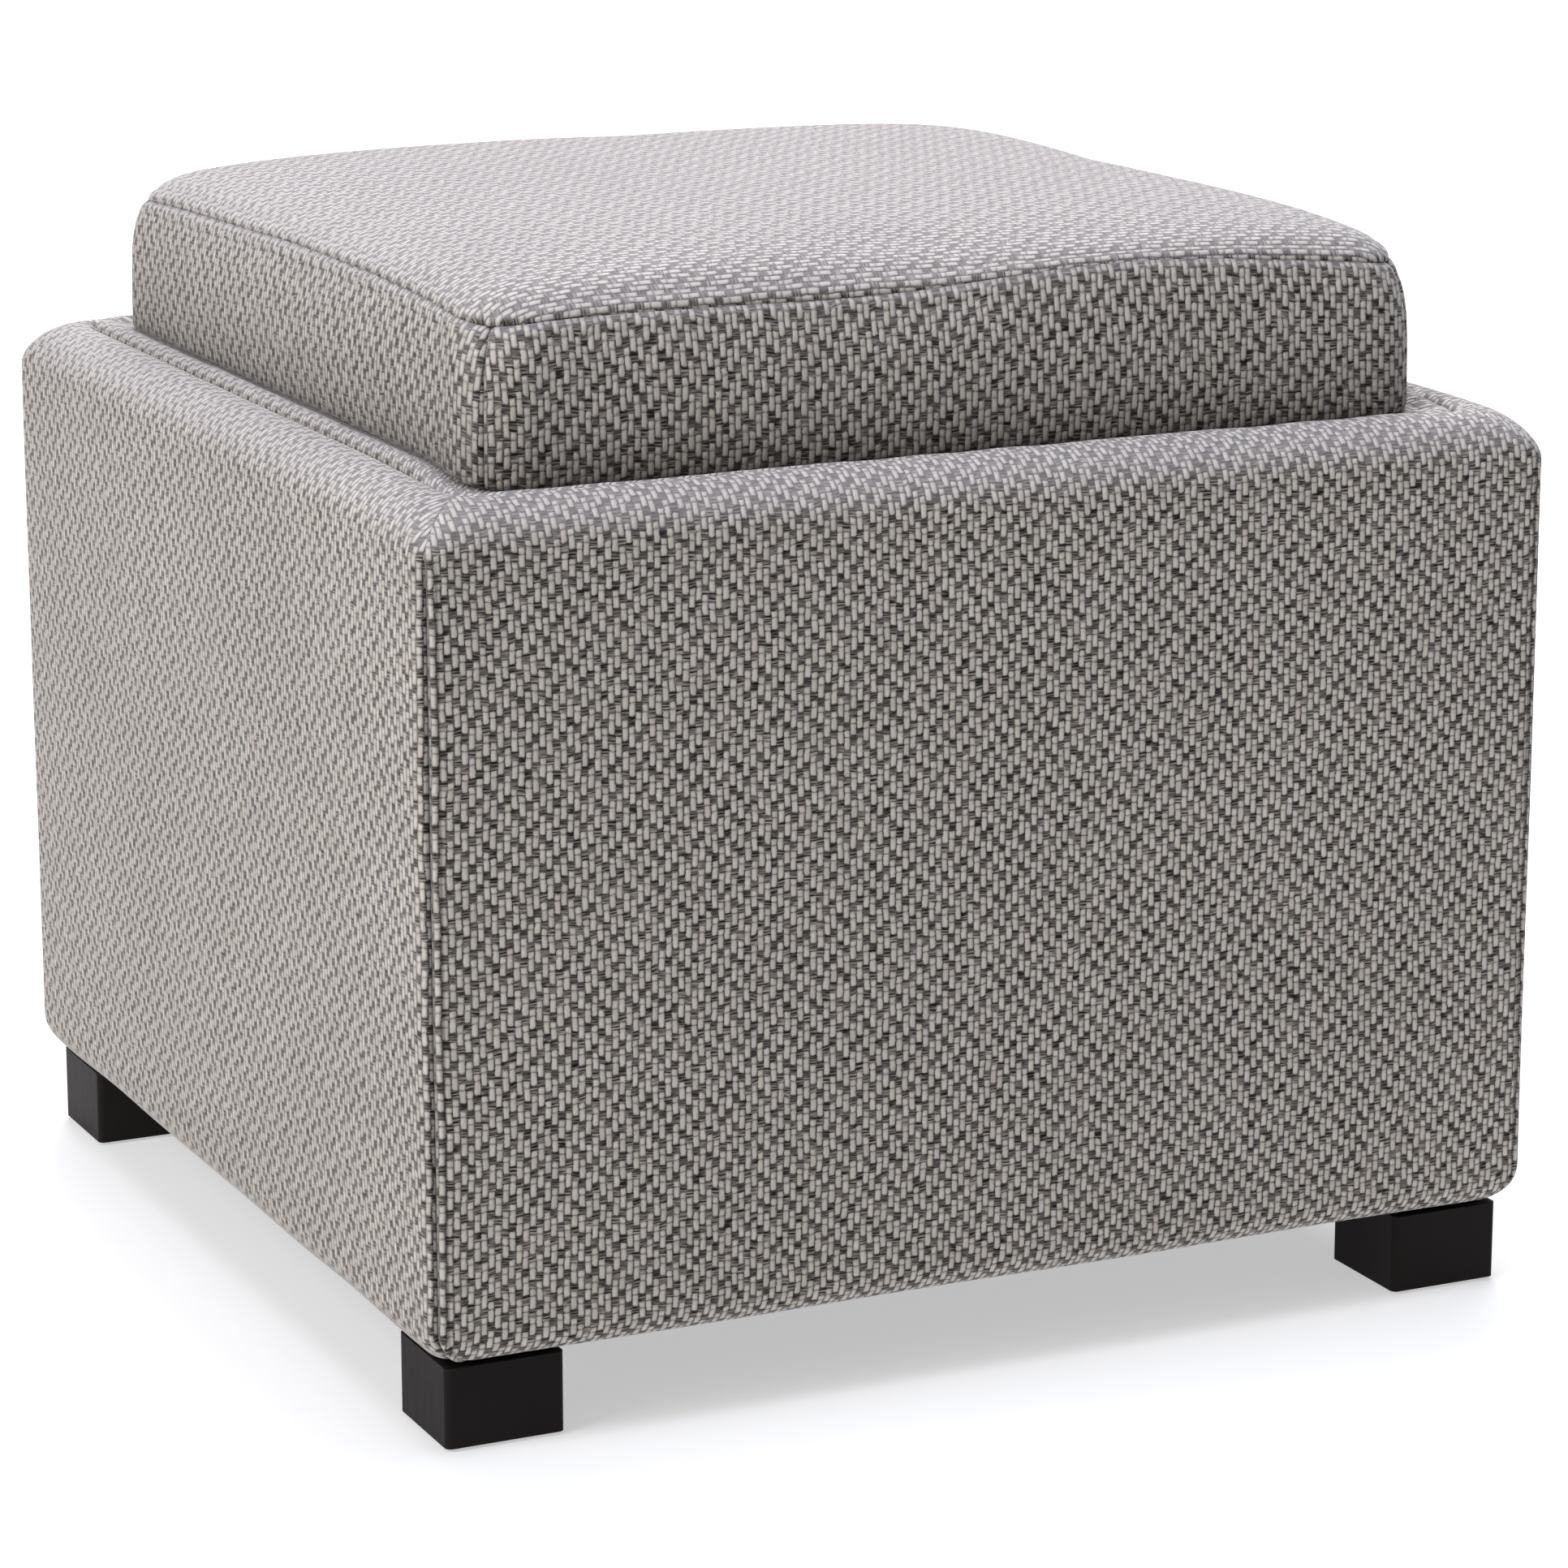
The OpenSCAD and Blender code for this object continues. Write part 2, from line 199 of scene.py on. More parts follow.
def round_square(a, b, half, radius):
    """Maps the square -1..1 onto a square of the given half-width with round corners."""
    x, y = a * half, b * half
    core = half - radius
    p = np.maximum(np.abs(x) - core, 0) / radius
    q = np.maximum(np.abs(y) - core, 0) / radius
    round_x = np.sign(x) * (core + radius * p * np.sqrt(1 - q * q / 2))
    round_y = np.sign(y) * (core + radius * q * np.sqrt(1 - p * p / 2))
    return np.where(p > 0, round_x, x), np.where(q > 0, round_y, y)


def turned(points, quarter_turns):
    """Points turned about Z by quarter turns, anticlockwise from above."""
    c, s = [(1, 0), (0, 1), (-1, 0), (0, -1)][quarter_turns % 4]
    x, y = points[..., 0], points[..., 1]
    return np.stack([c * x - s * y, s * x + c * y, points[..., 2]], -1)


def noise(points, size, seed):
    """Smooth deterministic noise from -1 to 1, with features about size across."""
    rng = np.random.default_rng(seed)
    total = np.zeros(points.shape[:-1])
    for _ in range(6):
        direction = rng.normal(size=3)
        direction *= rng.uniform(0.6, 1.4) * math.pi / (size * np.linalg.norm(direction))
        total += np.sin(points @ direction + rng.uniform(0, 2 * math.pi))
    return total / 3.5


def resample(field, rows, columns):
    """Catmull-Rom interpolation of field[row, column, ...] at fractional rows and columns."""
    def along_first(values, at):
        base = np.clip(np.floor(at).astype(int), 0, len(values) - 2)
        t = (at - base).reshape((-1,) + (1,) * (values.ndim - 1))
        padded = np.concatenate([2 * values[:1] - values[1:2], values, 2 * values[-1:] - values[-2:-1]])
        p0, p1, p2, p3 = (padded[base + k] for k in range(4))
        return 0.5 * (2 * p1 + (p2 - p0) * t + (2 * p0 - 5 * p1 + 4 * p2 - p3) * t ** 2
                      + (3 * p1 - p0 - 3 * p2 + p3) * t ** 3)
    over_rows = along_first(field, rows)
    return np.swapaxes(along_first(np.swapaxes(over_rows, 0, 1), columns), 0, 1)


def normals_of(points, wrap=False):
    """Unit normals of a grid of points."""
    across = np.gradient(points, axis=1)
    if wrap:
        around = np.concatenate([points[:, -2:-1], points, points[:, 1:2]], 1)
        across = np.gradient(around, axis=1)[:, 1:-1]
    normal = np.cross(across, np.gradient(points, axis=0))
    return normal / np.maximum(np.linalg.norm(normal, axis=-1, keepdims=True), 1e-12)


def quads_of(index, wrap=False):
    """The faces of a grid whose points have these numbers."""
    right = np.roll(index, -1, axis=1) if wrap else index[:, 1:]
    left = index if wrap else index[:, :-1]
    return np.stack([left[:-1], right[:-1], right[1:], left[1:]], -1).reshape(-1, 4)


def add_object(name, data):
    added = bpy.data.objects.new(name, data)
    bpy.context.scene.collection.objects.link(added)
    return added


def grid_piece(name, points, weave, seed, painted_shade=None, wrap=False, flip=False):
    """A mesh object from a grid of points, with its weave attribute and the painted shade at each point."""
    rows, columns = points.shape[:2]
    painted_shade = np.zeros((rows, columns)) if painted_shade is None else np.broadcast_to(painted_shade, (rows, columns))
    if wrap:
        points, weave, painted_shade = points[:, :-1], weave[:, :-1], painted_shade[:, :-1]
        columns -= 1
    quads = quads_of(np.arange(rows * columns).reshape(rows, columns), wrap)
    if flip:
        quads = quads[:, ::-1]
    mesh = bpy.data.meshes.new(name)
    mesh.from_pydata(points.reshape(-1, 3).tolist(), [], quads.tolist())
    attribute = mesh.attributes.new("weave", "FLOAT_VECTOR", "POINT")
    full = np.concatenate([weave.reshape(-1, 2), np.full((rows * columns, 1), float(seed))], 1)
    attribute.data.foreach_set("vector", full.astype(np.float32).ravel())
    # The painted shade at each point
    attribute = mesh.attributes.new("painted_shade", "FLOAT", "POINT")
    attribute.data.foreach_set("value", painted_shade.astype(np.float32).ravel())
    mesh.shade_smooth()
    return add_object(name, mesh)


def dress(piece, material):
    piece.data.materials.clear()
    piece.data.materials.append(material)


def finish_sheet(piece, thickness, material):
    """Gives a sheet its thickness, inwards from the side that shows, and its material."""
    solidify = piece.modifiers.new("thickness", "SOLIDIFY")
    solidify.thickness = thickness
    solidify.offset = -1.0
    graph = bpy.context.evaluated_depsgraph_get()
    made = bpy.data.meshes.new_from_object(piece.evaluated_get(graph))
    piece.modifiers.clear()
    piece.data = made
    dress(piece, material)


def ease_edges(piece, width):
    """Rounds the hard edges of a rigid piece a little."""
    bevel = piece.modifiers.new("eased edges", "BEVEL")
    bevel.width = width
    bevel.segments = 3
    bevel.limit_method = "ANGLE"
    bevel.angle_limit = math.radians(40)
    bevel.harden_normals = False


# -------- materials

class Graph:
    """Short ways to add shader nodes to one material."""

    def __init__(self, name):
        self.material = bpy.data.materials.new(name)
        self.material.use_nodes = True
        self.tree = self.material.node_tree
        self.shader = self.tree.nodes["Principled BSDF"]

    def node(self, kind, inputs=None, **settings):
        made = self.tree.nodes.new("ShaderNode" + kind)
        for key, value in settings.items():
            setattr(made, key, value)
        for key, value in (inputs or {}).items():
            if isinstance(value, bpy.types.NodeSocket):
                self.tree.links.new(value, made.inputs[key])
            else:
                made.inputs[key].default_value = value
        return made

    def math(self, operation, *values):
        return self.node("Math", dict(enumerate(values)), operation=operation).outputs[0]

    def add(self, a, b):
        return self.math("ADD", a, b)

    def subtract(self, a, b):
        return self.math("SUBTRACT", a, b)

    def multiply(self, a, b):
        return self.math("MULTIPLY", a, b)

    def spread(self, value, from_low, from_high, to_low, to_high, smooth=False):
        """Maps a range of value onto another, clamped."""
        return self.node("MapRange", {
            "Value": value, "From Min": from_low, "From Max": from_high,
            "To Min": to_low, "To Max": to_high,
        }, interpolation_type="SMOOTHSTEP" if smooth else "LINEAR").outputs["Result"]

    def place(self):
        """The point being shaded, in its own piece's coordinates."""
        return self.node("TexCoord").outputs["Object"]

    def vector(self, x, y, z):
        return self.node("CombineXYZ", {"X": x, "Y": y, "Z": z}).outputs[0]

    def split(self, vector):
        return self.node("SeparateXYZ", {"Vector": vector}).outputs

    def stretched(self, vector, scale):
        return self.node("Mapping", {"Vector": vector, "Scale": scale}).outputs["Vector"]

    def noise(self, vector, scale, detail=2.0, roughness=0.5, output="Fac"):
        return self.node("TexNoise", {
            "Vector": vector, "Scale": scale, "Detail": detail, "Roughness": roughness,
        }, noise_dimensions="3D").outputs[output]

    def chance(self, vector):
        """A fixed random value from 0 to 1 for each whole-numbered vector."""
        made = self.node("TexWhiteNoise", {"Vector": vector}, noise_dimensions="3D")
        return made.outputs["Value"]

    def ramp(self, value, stops, interpolation="LINEAR"):
        """Grey ramp from (position, level) stops."""
        made = self.node("ValToRGB", {"Fac": value})
        made.color_ramp.interpolation = interpolation
        elements = made.color_ramp.elements
        elements[0].position, elements[1].position = stops[0][0], stops[-1][0]
        for position, _ in stops[1:-1]:
            elements.new(position)
        for element, (_, level) in zip(elements, stops):
            element.color = (level, level, level, 1)
        return made.outputs["Color"]

    def mix(self, factor, a, b, blend="MIX"):
        made = self.node("Mix", {"Factor": factor}, data_type="RGBA", blend_type=blend)
        for index, value in ((6, a), (7, b)):
            if isinstance(value, bpy.types.NodeSocket):
                self.tree.links.new(value, made.inputs[index])
            else:
                made.inputs[index].default_value = (*value, 1)
        return made.outputs[2]

    def times(self, colour, factor, amount=1.0):
        return self.mix(amount, colour, factor, "MULTIPLY")

    def bump(self, height, distance, strength):
        made = self.node("Bump", {"Height": height, "Distance": distance, "Strength": strength})
        self.tree.links.new(made.outputs["Normal"], self.shader.inputs["Normal"])

    def color(self, socket):
        self.tree.links.new(socket, self.shader.inputs["Base Color"])

    def roughness(self, socket):
        self.tree.links.new(socket, self.shader.inputs["Roughness"])

    def set(self, **values):
        for key, value in values.items():
            self.shader.inputs[key.replace("_", " ")].default_value = value


def linear(red, green, blue):
    """Linear colour from 0-255 display values."""
    levels = (c / 255 for c in (red, green, blue))
    return tuple(((c + 0.055) / 1.055) ** 2.4 if c > 10 / 255 else c / 12.92 for c in levels)


WARP_PALE = linear(206, 199, 191)
WARP_DEEP = linear(190, 183, 174)
WARP_CREAM = linear(204, 198, 178)
WARP_ROSE = linear(199, 184, 178)
WEFT_DARK = linear(32, 28, 26)
WEFT_PALE = linear(160, 152, 145)
# Painted light: a pale colour mixed over the gaps where the fabric faces up
PAINTED_UPLIGHT = linear(206, 201, 204)
PAINTED_UPLIGHT_SHARE = 0.32       # share of the painted light over the gaps, where the fabric faces up
SIDE_CLOSING = 0.16     # how far the gaps close on the left and right sides
PAINTED_SHADE_DEPTH = 0.62     # painted shade: how much darker the fabric is where its shade attribute is 1


def woven_fabric():
    """Broken twill of thick flat light warps over pairs of thin charcoal wefts."""
    g = Graph("woven_fabric")
    weave = g.node("Attribute", attribute_name="weave").outputs["Vector"]
    # Painted shade in seam valleys, folds and low on the boxing
    painted_shade = g.node("Attribute", attribute_name="painted_shade").outputs["Fac"]
    across, along, seed = g.split(weave)

    # The yarns wander: slowly over the panel, a little from yarn to yarn, and their edges are hairy
    weft_across, weft_along = across, along
    for scale, sideways, lengthways in ((9, 4.0, 2.0), (75, 1.5, 3.0), (900, 0.6, 0.8)):
        weft_across, weft_along = across, along
        wander = g.noise(g.vector(across, along, seed), scale, 1.0, output="Color")
        wander = g.node("SeparateColor", {"Color": wander}).outputs
        across = g.add(across, g.multiply(g.subtract(wander[0], 0.5), sideways * MM))
        along = g.add(along, g.multiply(g.subtract(wander[1], 0.5), lengthways * MM))

    # Which warp, which of its repeats, and where in that repeat
    warp_at = g.multiply(across, 1 / PITCH)
    warp = g.math("FLOOR", warp_at)
    in_warp = g.subtract(warp_at, warp)
    of_four = g.multiply(warp, 0.25)
    of_four = g.subtract(of_four, g.math("FLOOR", of_four))
    offset = g.ramp(of_four, [(0.0, 0.0), (0.125, 0.5), (0.375, 0.75), (0.625, 0.25)], "CONSTANT")
    slip = g.multiply(g.subtract(g.chance(g.vector(warp, seed, 0.0)), 0.5), 0.06)
    repeat_at = g.subtract(g.multiply(along, 1 / REPEAT), g.add(offset, slip))
    repeat = g.math("FLOOR", repeat_at)
    in_repeat = g.subtract(repeat_at, repeat)

    # Fibres run along each yarn
    warp_fibre = g.vector(g.multiply(across, 2600.0), g.multiply(along, 300.0), seed)
    fibre = g.noise(warp_fibre, 1.0, 2.0)
    weft_fibre = g.vector(g.multiply(weft_across, 170.0), g.multiply(weft_along, 1750.0), seed)
    streak = g.noise(weft_fibre, 1.0, 1.0)

    # Heights: a short and a long float of the warp, then the gap where two wefts show
    float_profile = g.ramp(in_repeat, [
        (0.0, 0.25), (0.035, 0.72), (0.11, 0.98), (0.19, 0.8), (0.23, 0.34), (0.25, 0.34),
        (0.29, 0.78), (0.46, 1.0), (0.62, 0.85), (0.69, 0.15), (0.72, 0.0), (0.98, 0.0), (1.0, 0.25)])
    from_middle = g.math("ABSOLUTE", g.subtract(g.multiply(in_warp, 2.0), 1.0))
    warp_profile = g.subtract(1.0, g.math("POWER", from_middle, 2.7))
    warp_height = g.multiply(float_profile, warp_profile)
    ragged = g.add(warp_height, g.multiply(g.subtract(fibre, 0.5), 0.25))
    # The warps lie closer together on the left and right sides, where the photo shows smaller gaps
    facing = g.split(g.node("NewGeometry").outputs["Normal"])
    sideways = g.math("ABSOLUTE", facing[0])
    ragged = g.add(ragged, g.spread(sideways, 0.6, 0.9, 0, SIDE_CLOSING, smooth=True))
    is_warp = g.spread(ragged, 0.06, 0.56, 0, 1, smooth=True)
    # The wefts' relief, with a painted shadow low in the gap just below each long float
    weft_profile = g.ramp(in_repeat, [
        (0.0, 0.5), (0.66, 0.15), (0.735, 0.2), (0.80, 0.72), (0.86, 0.42), (0.93, 0.95), (0.985, 0.5),
        (1.0, 0.5)])
    height = g.math("MAXIMUM", warp_height, g.multiply(weft_profile, 0.4))

    # Colours: each float of the warp differs a little, a few are tinted
    which = g.math("LESS_THAN", in_repeat, 0.24)
    block = g.vector(warp, repeat, g.add(which, seed))
    light = g.mix(g.chance(block), WARP_DEEP, WARP_PALE)
    tint = g.chance(g.vector(repeat, warp, seed))
    light = g.mix(g.multiply(g.math("GREATER_THAN", tint, 0.97), 0.4), light, WARP_CREAM)
    light = g.mix(g.multiply(g.math("LESS_THAN", tint, 0.02), 0.5), light, WARP_ROSE)
    light = g.times(light, g.spread(fibre, 0.3, 0.7, 0.84, 1.1))
    # Painted shade: each warp darker towards its edges and ends
    light = g.times(light, g.spread(warp_height, 0.2, 0.9, 0.68, 1.06))
    dark = g.mix(g.spread(streak, 0.38, 0.64, 0, 1), WEFT_DARK, WEFT_PALE)
    # Painted shade: the wefts darker deeper in the gap, where the warps shade them
    dark = g.times(dark, g.spread(weft_profile, 0.15, 0.8, 0.3, 1.0))
    dark = g.times(dark, g.spread(g.chance(g.vector(repeat, seed, warp)), 0, 1, 0.6, 1.3))
    cloth = g.mix(is_warp, dark, light)
    patch = g.noise(weave, 8, 2.0)
    cloth = g.times(cloth, g.spread(patch, 0.3, 0.7, 0.96, 1.04))
    # Painted light: where the fabric faces up its gaps are lifted towards a pale colour, standing in for
    # light from above and for gaps hidden by the raised warps
    cloth = g.mix(g.spread(facing[2], 0.1, 0.8, 0, PAINTED_UPLIGHT_SHARE, smooth=True), cloth, PAINTED_UPLIGHT)
    # Painted shade darkens the colour where the shade attribute is high
    g.color(g.times(cloth, g.subtract(1.0, g.multiply(painted_shade, PAINTED_SHADE_DEPTH))))

    g.bump(g.add(height, g.multiply(fibre, 0.14)), 0.8 * MM, 0.9)
    g.set(Roughness=0.88, Specular_IOR_Level=0.2, Sheen_Roughness=0.28)
    g.tree.links.new(g.spread(is_warp, 0, 1, 0.9, 0.2), g.shader.inputs["Sheen Weight"])
    g.shader.inputs["Sheen Tint"].default_value = (0.95, 0.93, 1.0, 1)
    return g.material


def foam():
    g = Graph("open_cell_foam")
    place = g.place()
    cells = g.node("TexVoronoi", {"Vector": place, "Scale": 900.0}).outputs["Distance"]
    tone = g.noise(place, 14, 3.0)
    g.color(g.mix(g.spread(tone, 0.3, 0.7, 0, 1), linear(232, 222, 190), linear(244, 238, 214)))
    g.bump(cells, 0.4 * MM, 0.6)
    g.set(Roughness=0.95, Specular_IOR_Level=0.2)
    return g.material


def wood(name, pale, deep, stretch, roughness, coat=0.0, grain=0.12):
    """Long-grained wood: growth rings stretched along one axis, with fine pores."""
    g = Graph(name)
    place = g.place()
    long_way = g.stretched(place, stretch)
    rings = g.noise(long_way, 14, 4.0, 0.6)
    pores = g.noise(long_way, 160, 3.0, 0.7)
    figure = g.spread(rings, 0.35, 0.65, 0, 1)
    tone = g.mix(figure, deep, pale)
    g.color(g.times(tone, g.spread(pores, 0.3, 0.7, 0.6, 1.1), grain * 3))
    g.roughness(g.spread(pores, 0.3, 0.7, roughness * 1.15, roughness * 0.9))
    g.bump(g.add(g.multiply(pores, 0.7), g.multiply(rings, 0.3)), 0.25 * MM, grain * 2)
    g.set(Coat_Weight=coat, Coat_Roughness=0.25)
    return g.material


def foot_finish():
    """Near-black satin lacquer over wood, slightly rubbed on its edges."""
    g = Graph("foot_finish")
    place = g.place()
    long_way = g.stretched(place, (1.0, 1.0, 0.15))
    pores = g.noise(long_way, 420, 3.0, 0.65)
    cloud = g.noise(place, 30, 2.0)
    edge = g.node("NewGeometry").outputs["Pointiness"]
    rubbed = g.spread(edge, 0.53, 0.62, 0, 0.35)
    tone = g.mix(g.spread(cloud, 0.3, 0.7, 0, 1), linear(13, 12, 14), linear(20, 18, 20))
    g.color(g.mix(rubbed, tone, linear(60, 53, 52)))
    g.roughness(g.spread(pores, 0.3, 0.7, 0.42, 0.34))
    g.bump(pores, 0.12 * MM, 0.25)
    g.set(Specular_IOR_Level=0.03)
    return g.material


def lining_cloth():
    """Plain dark polyester lining with a fine square weave."""
    g = Graph("lining_cloth")
    place = g.node("Attribute", attribute_name="weave").outputs["Vector"]
    across, along, _ = g.split(place)
    threads = 2 * math.pi / (0.7 * MM)
    over = g.multiply(g.math("SINE", g.multiply(across, threads)),
                      g.math("SINE", g.multiply(along, threads)))
    slub = g.noise(place, 60, 3.0)
    weft = g.noise(g.vector(g.multiply(across, 30.0), g.multiply(along, 900.0), 0.0), 1.0, 2.0)
    tone = g.mix(g.spread(slub, 0.3, 0.7, 0, 1), linear(46, 44, 45), linear(58, 55, 56))
    tone = g.times(tone, g.spread(weft, 0.3, 0.7, 0.8, 1.15), 0.8)
    g.color(g.times(tone, g.spread(over, -1, 1, 0.72, 1.15), 0.7))
    g.bump(over, 0.15 * MM, 0.5)
    g.set(Roughness=0.85, Specular_IOR_Level=0.3, Sheen_Weight=0.2, Sheen_Roughness=0.4)
    return g.material


def dust_cloth():
    """Black spun-bonded cloth with its pattern of small weld points."""
    g = Graph("dust_cloth")
    place = g.place()
    points = g.node("TexVoronoi", {"Vector": place, "Scale": 520.0, "Randomness": 0.15})
    fibres = g.noise(place, 1300, 3.0, 0.7)
    weld = g.spread(points.outputs["Distance"], 0.12, 0.3, 0, 1, smooth=True)
    tone = g.mix(weld, linear(24, 24, 25), linear(44, 43, 44))
    g.color(g.times(tone, g.spread(fibres, 0.3, 0.7, 0.7, 1.2), 0.8))
    g.bump(g.add(weld, g.multiply(fibres, 0.4)), 0.15 * MM, 0.6)
    g.set(Roughness=0.8, Specular_IOR_Level=0.3)
    return g.material


def plated_steel():
    g = Graph("plated_steel")
    place = g.place()
    spots = g.noise(place, 700, 3.0, 0.6)
    g.color(g.mix(g.spread(spots, 0.3, 0.7, 0, 1), linear(186, 184, 172), linear(216, 214, 208)))
    g.roughness(g.spread(spots, 0.3, 0.7, 0.42, 0.28))
    g.bump(spots, 0.05 * MM, 0.4)
    g.set(Metallic=1.0)
    return g.material


def moulded_nylon():
    g = Graph("moulded_nylon")
    place = g.place()
    texture = g.noise(place, 1500, 2.0)
    g.color(g.mix(g.spread(texture, 0.3, 0.7, 0, 1), linear(30, 30, 31), linear(40, 40, 41)))
    g.bump(texture, 0.1 * MM, 0.4)
    g.set(Roughness=0.6)
    return g.material


# -------- box: upholstery

def body_section(inset=0.0):
    """The padded wall from its turned-under edge, up the outside and over the rim to its inner edge."""
    base_r, rim_r, lip_r = BASE_R - inset, RIM_R - inset, LIP_R - inset
    half, base, crest, mouth = BODY_HALF - inset, BASE_Z + inset, RIM_Z - inset, MOUTH_HALF + inset
    return outline([
        ("line", (TURN_UNDER_HALF, base)),
        ("line", (half - base_r, base), 7 * MM),
        ("arc", (half - base_r, base + base_r), base_r, -QUARTER, STRAIGHT),
        ("line", (half, crest - rim_r), 5 * MM),
        ("arc", (half - rim_r, crest - rim_r), rim_r, STRAIGHT, QUARTER),
        ("line", (mouth + lip_r, crest)),
        ("arc", (mouth + lip_r, crest - lip_r), lip_r, QUARTER, 2 * QUARTER),
        ("line", (mouth, LINING_TOP), 5 * MM),
    ], 1.6 * MM)


def body_corner_radius(section):
    """Radius of the box's corner seen from above, at each point of the section."""
    out, up = section[:, 0], section[:, 1]
    over_rim = smoothstep(up - (RIM_Z - RIM_R), RIM_R)
    radius = UPRIGHT_R + (CREST_R - UPRIGHT_R) * over_rim
    inside = smoothstep(BODY_HALF - 14 * MM - out, 10 * MM) * (up > RIM_Z - 60 * MM)
    radius += (MOUTH_R - radius) * inside
    under = smoothstep(BASE_Z + BASE_R - up, BASE_R)
    return radius + (UNDER_R - radius) * under * (up < BASE_Z + BASE_R)


def ring_points(section, radius, columns):
    """Front quarter of a square ring: section rows by columns (-1 at one mitre, 1 at the other)."""
    half = section[:, 0][:, None]
    a = np.broadcast_to(columns[None, :], (len(section), len(columns)))
    x, y = round_square(a, -np.ones_like(a), half, radius[:, None])
    return np.stack([x, y, np.broadcast_to(section[:, 1][:, None], x.shape)], -1)


def ring_weave(points, section):
    """Metres across the warps, from the middle of the side, and metres down the section."""
    across = across_from_middle(points)
    down = lengths(section)[-1] - lengths(section)
    return np.stack([across, np.broadcast_to(down[:, None], across.shape)], -1)


def rim_sag(points):
    """Height that the rim gains: -RIM_SAG on its front, fading out down the wall and backwards."""
    near_front = 1 - smoothstep(points[..., 1] + BODY_HALF, 110 * MM)
    return -RIM_SAG * near_front * smoothstep(points[..., 2] - RIM_Z + 42 * MM, 42 * MM)


def body_panel(quarter_turns, folded_side):
    """One fabric panel of the box: points, weave and painted shade. A folded side carries the seam
    allowance.
    """
    section = body_section()
    columns = side_columns(BODY_HALF, 0.6 * MM, 7 * MM, 5 * MM)
    points = ring_points(section, body_corner_radius(section), columns)
    weave = ring_weave(points, section)
    normal = normals_of(points)
    up = section[:, 1][:, None]
    outside = (section[:, 0] > BODY_HALF - RIM_R)[:, None]

    # Foam: each face is slightly crowned, and its surface is not quite even
    face = smoothstep(up - BASE_Z - 5 * MM, 60 * MM) * smoothstep(RIM_Z - 8 * MM - up, 60 * MM)
    swell = WALL_CROWN * face * outside * (1 - np.abs(columns[None, :]) ** 6)
    uneven = 0.35 * MM * noise(turned(points, quarter_turns), 55 * MM, 3) * outside

    # Seam: a valley on the mitre, and on one side the allowance shows as a low ridge
    to_seam = np.abs(weave[:, :1, 0]) - np.abs(weave[..., 0])
    fade = 1 - smoothstep(up - (RIM_Z - 28 * MM), 16 * MM)
    fade = np.maximum(fade * outside, 0.08 * (up > RIM_Z - 25 * MM))
    valley = bell(to_seam, 1.2 * MM)
    fold = bell(to_seam - ALLOWANCE, 0.7 * MM) * folded_side
    ridge = smoothstep(to_seam - 0.8 * MM, 1.2 * MM) * smoothstep(ALLOWANCE - to_seam, 1.0 * MM)
    seam = (0.6 * ridge * folded_side - 1.5 * valley - 0.3 * fold) * fade * MM
    points = turned(points + normal * (swell + uneven + seam)[..., None], quarter_turns)
    points[..., 2] += rim_sag(points)
    # Besides points and weave: painted shade in the seam's valley and beside the fold of the allowance
    return points, weave, np.clip(valley + 0.7 * fold, 0, 1) * fade


def build_body_upholstery(material):
    for k, side in enumerate(SIDES):
        points, weave, painted_shade = body_panel(k, side in ("front", "back"))
        piece = grid_piece(f"{side}_upholstery", points, weave, k * 3 + 1, painted_shade)
        finish_sheet(piece, FABRIC_T, material)
        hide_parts(f"{side}_cover")
        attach(piece, "box")


def build_body_foam(material):
    """The foam under each fabric panel: from under the wall, up the outside and over its top edge."""
    inset = FABRIC_T + 0.5 * MM
    section = body_section(inset)
    wall_top = high("front_panel").z
    on_foam = (section[:, 0] > -low("bottom_board").y + 0.2 * MM) | (section[:, 1] > wall_top)
    section = section[on_foam & (section[:, 1] > BASE_Z + 3 * MM)]
    columns = side_columns(BODY_HALF, 2 * MM, 8 * MM, 9 * MM)
    points = ring_points(section, body_corner_radius(section) - inset, columns)
    for k, side in enumerate(SIDES):
        uneven = points + normals_of(points) * (0.25 * MM * (noise(points, 25 * MM, 11 + k) - 1))[..., None]
        uneven = turned(uneven, k)
        uneven[..., 2] += rim_sag(uneven)
        piece = grid_piece(f"{side}_wall_foam", uneven, ring_weave(points, section), k)
        finish_sheet(piece, WALL_FOAM_T, material)
        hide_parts(f"{side}_foam")
        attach(piece, "box")


# -------- box: lining

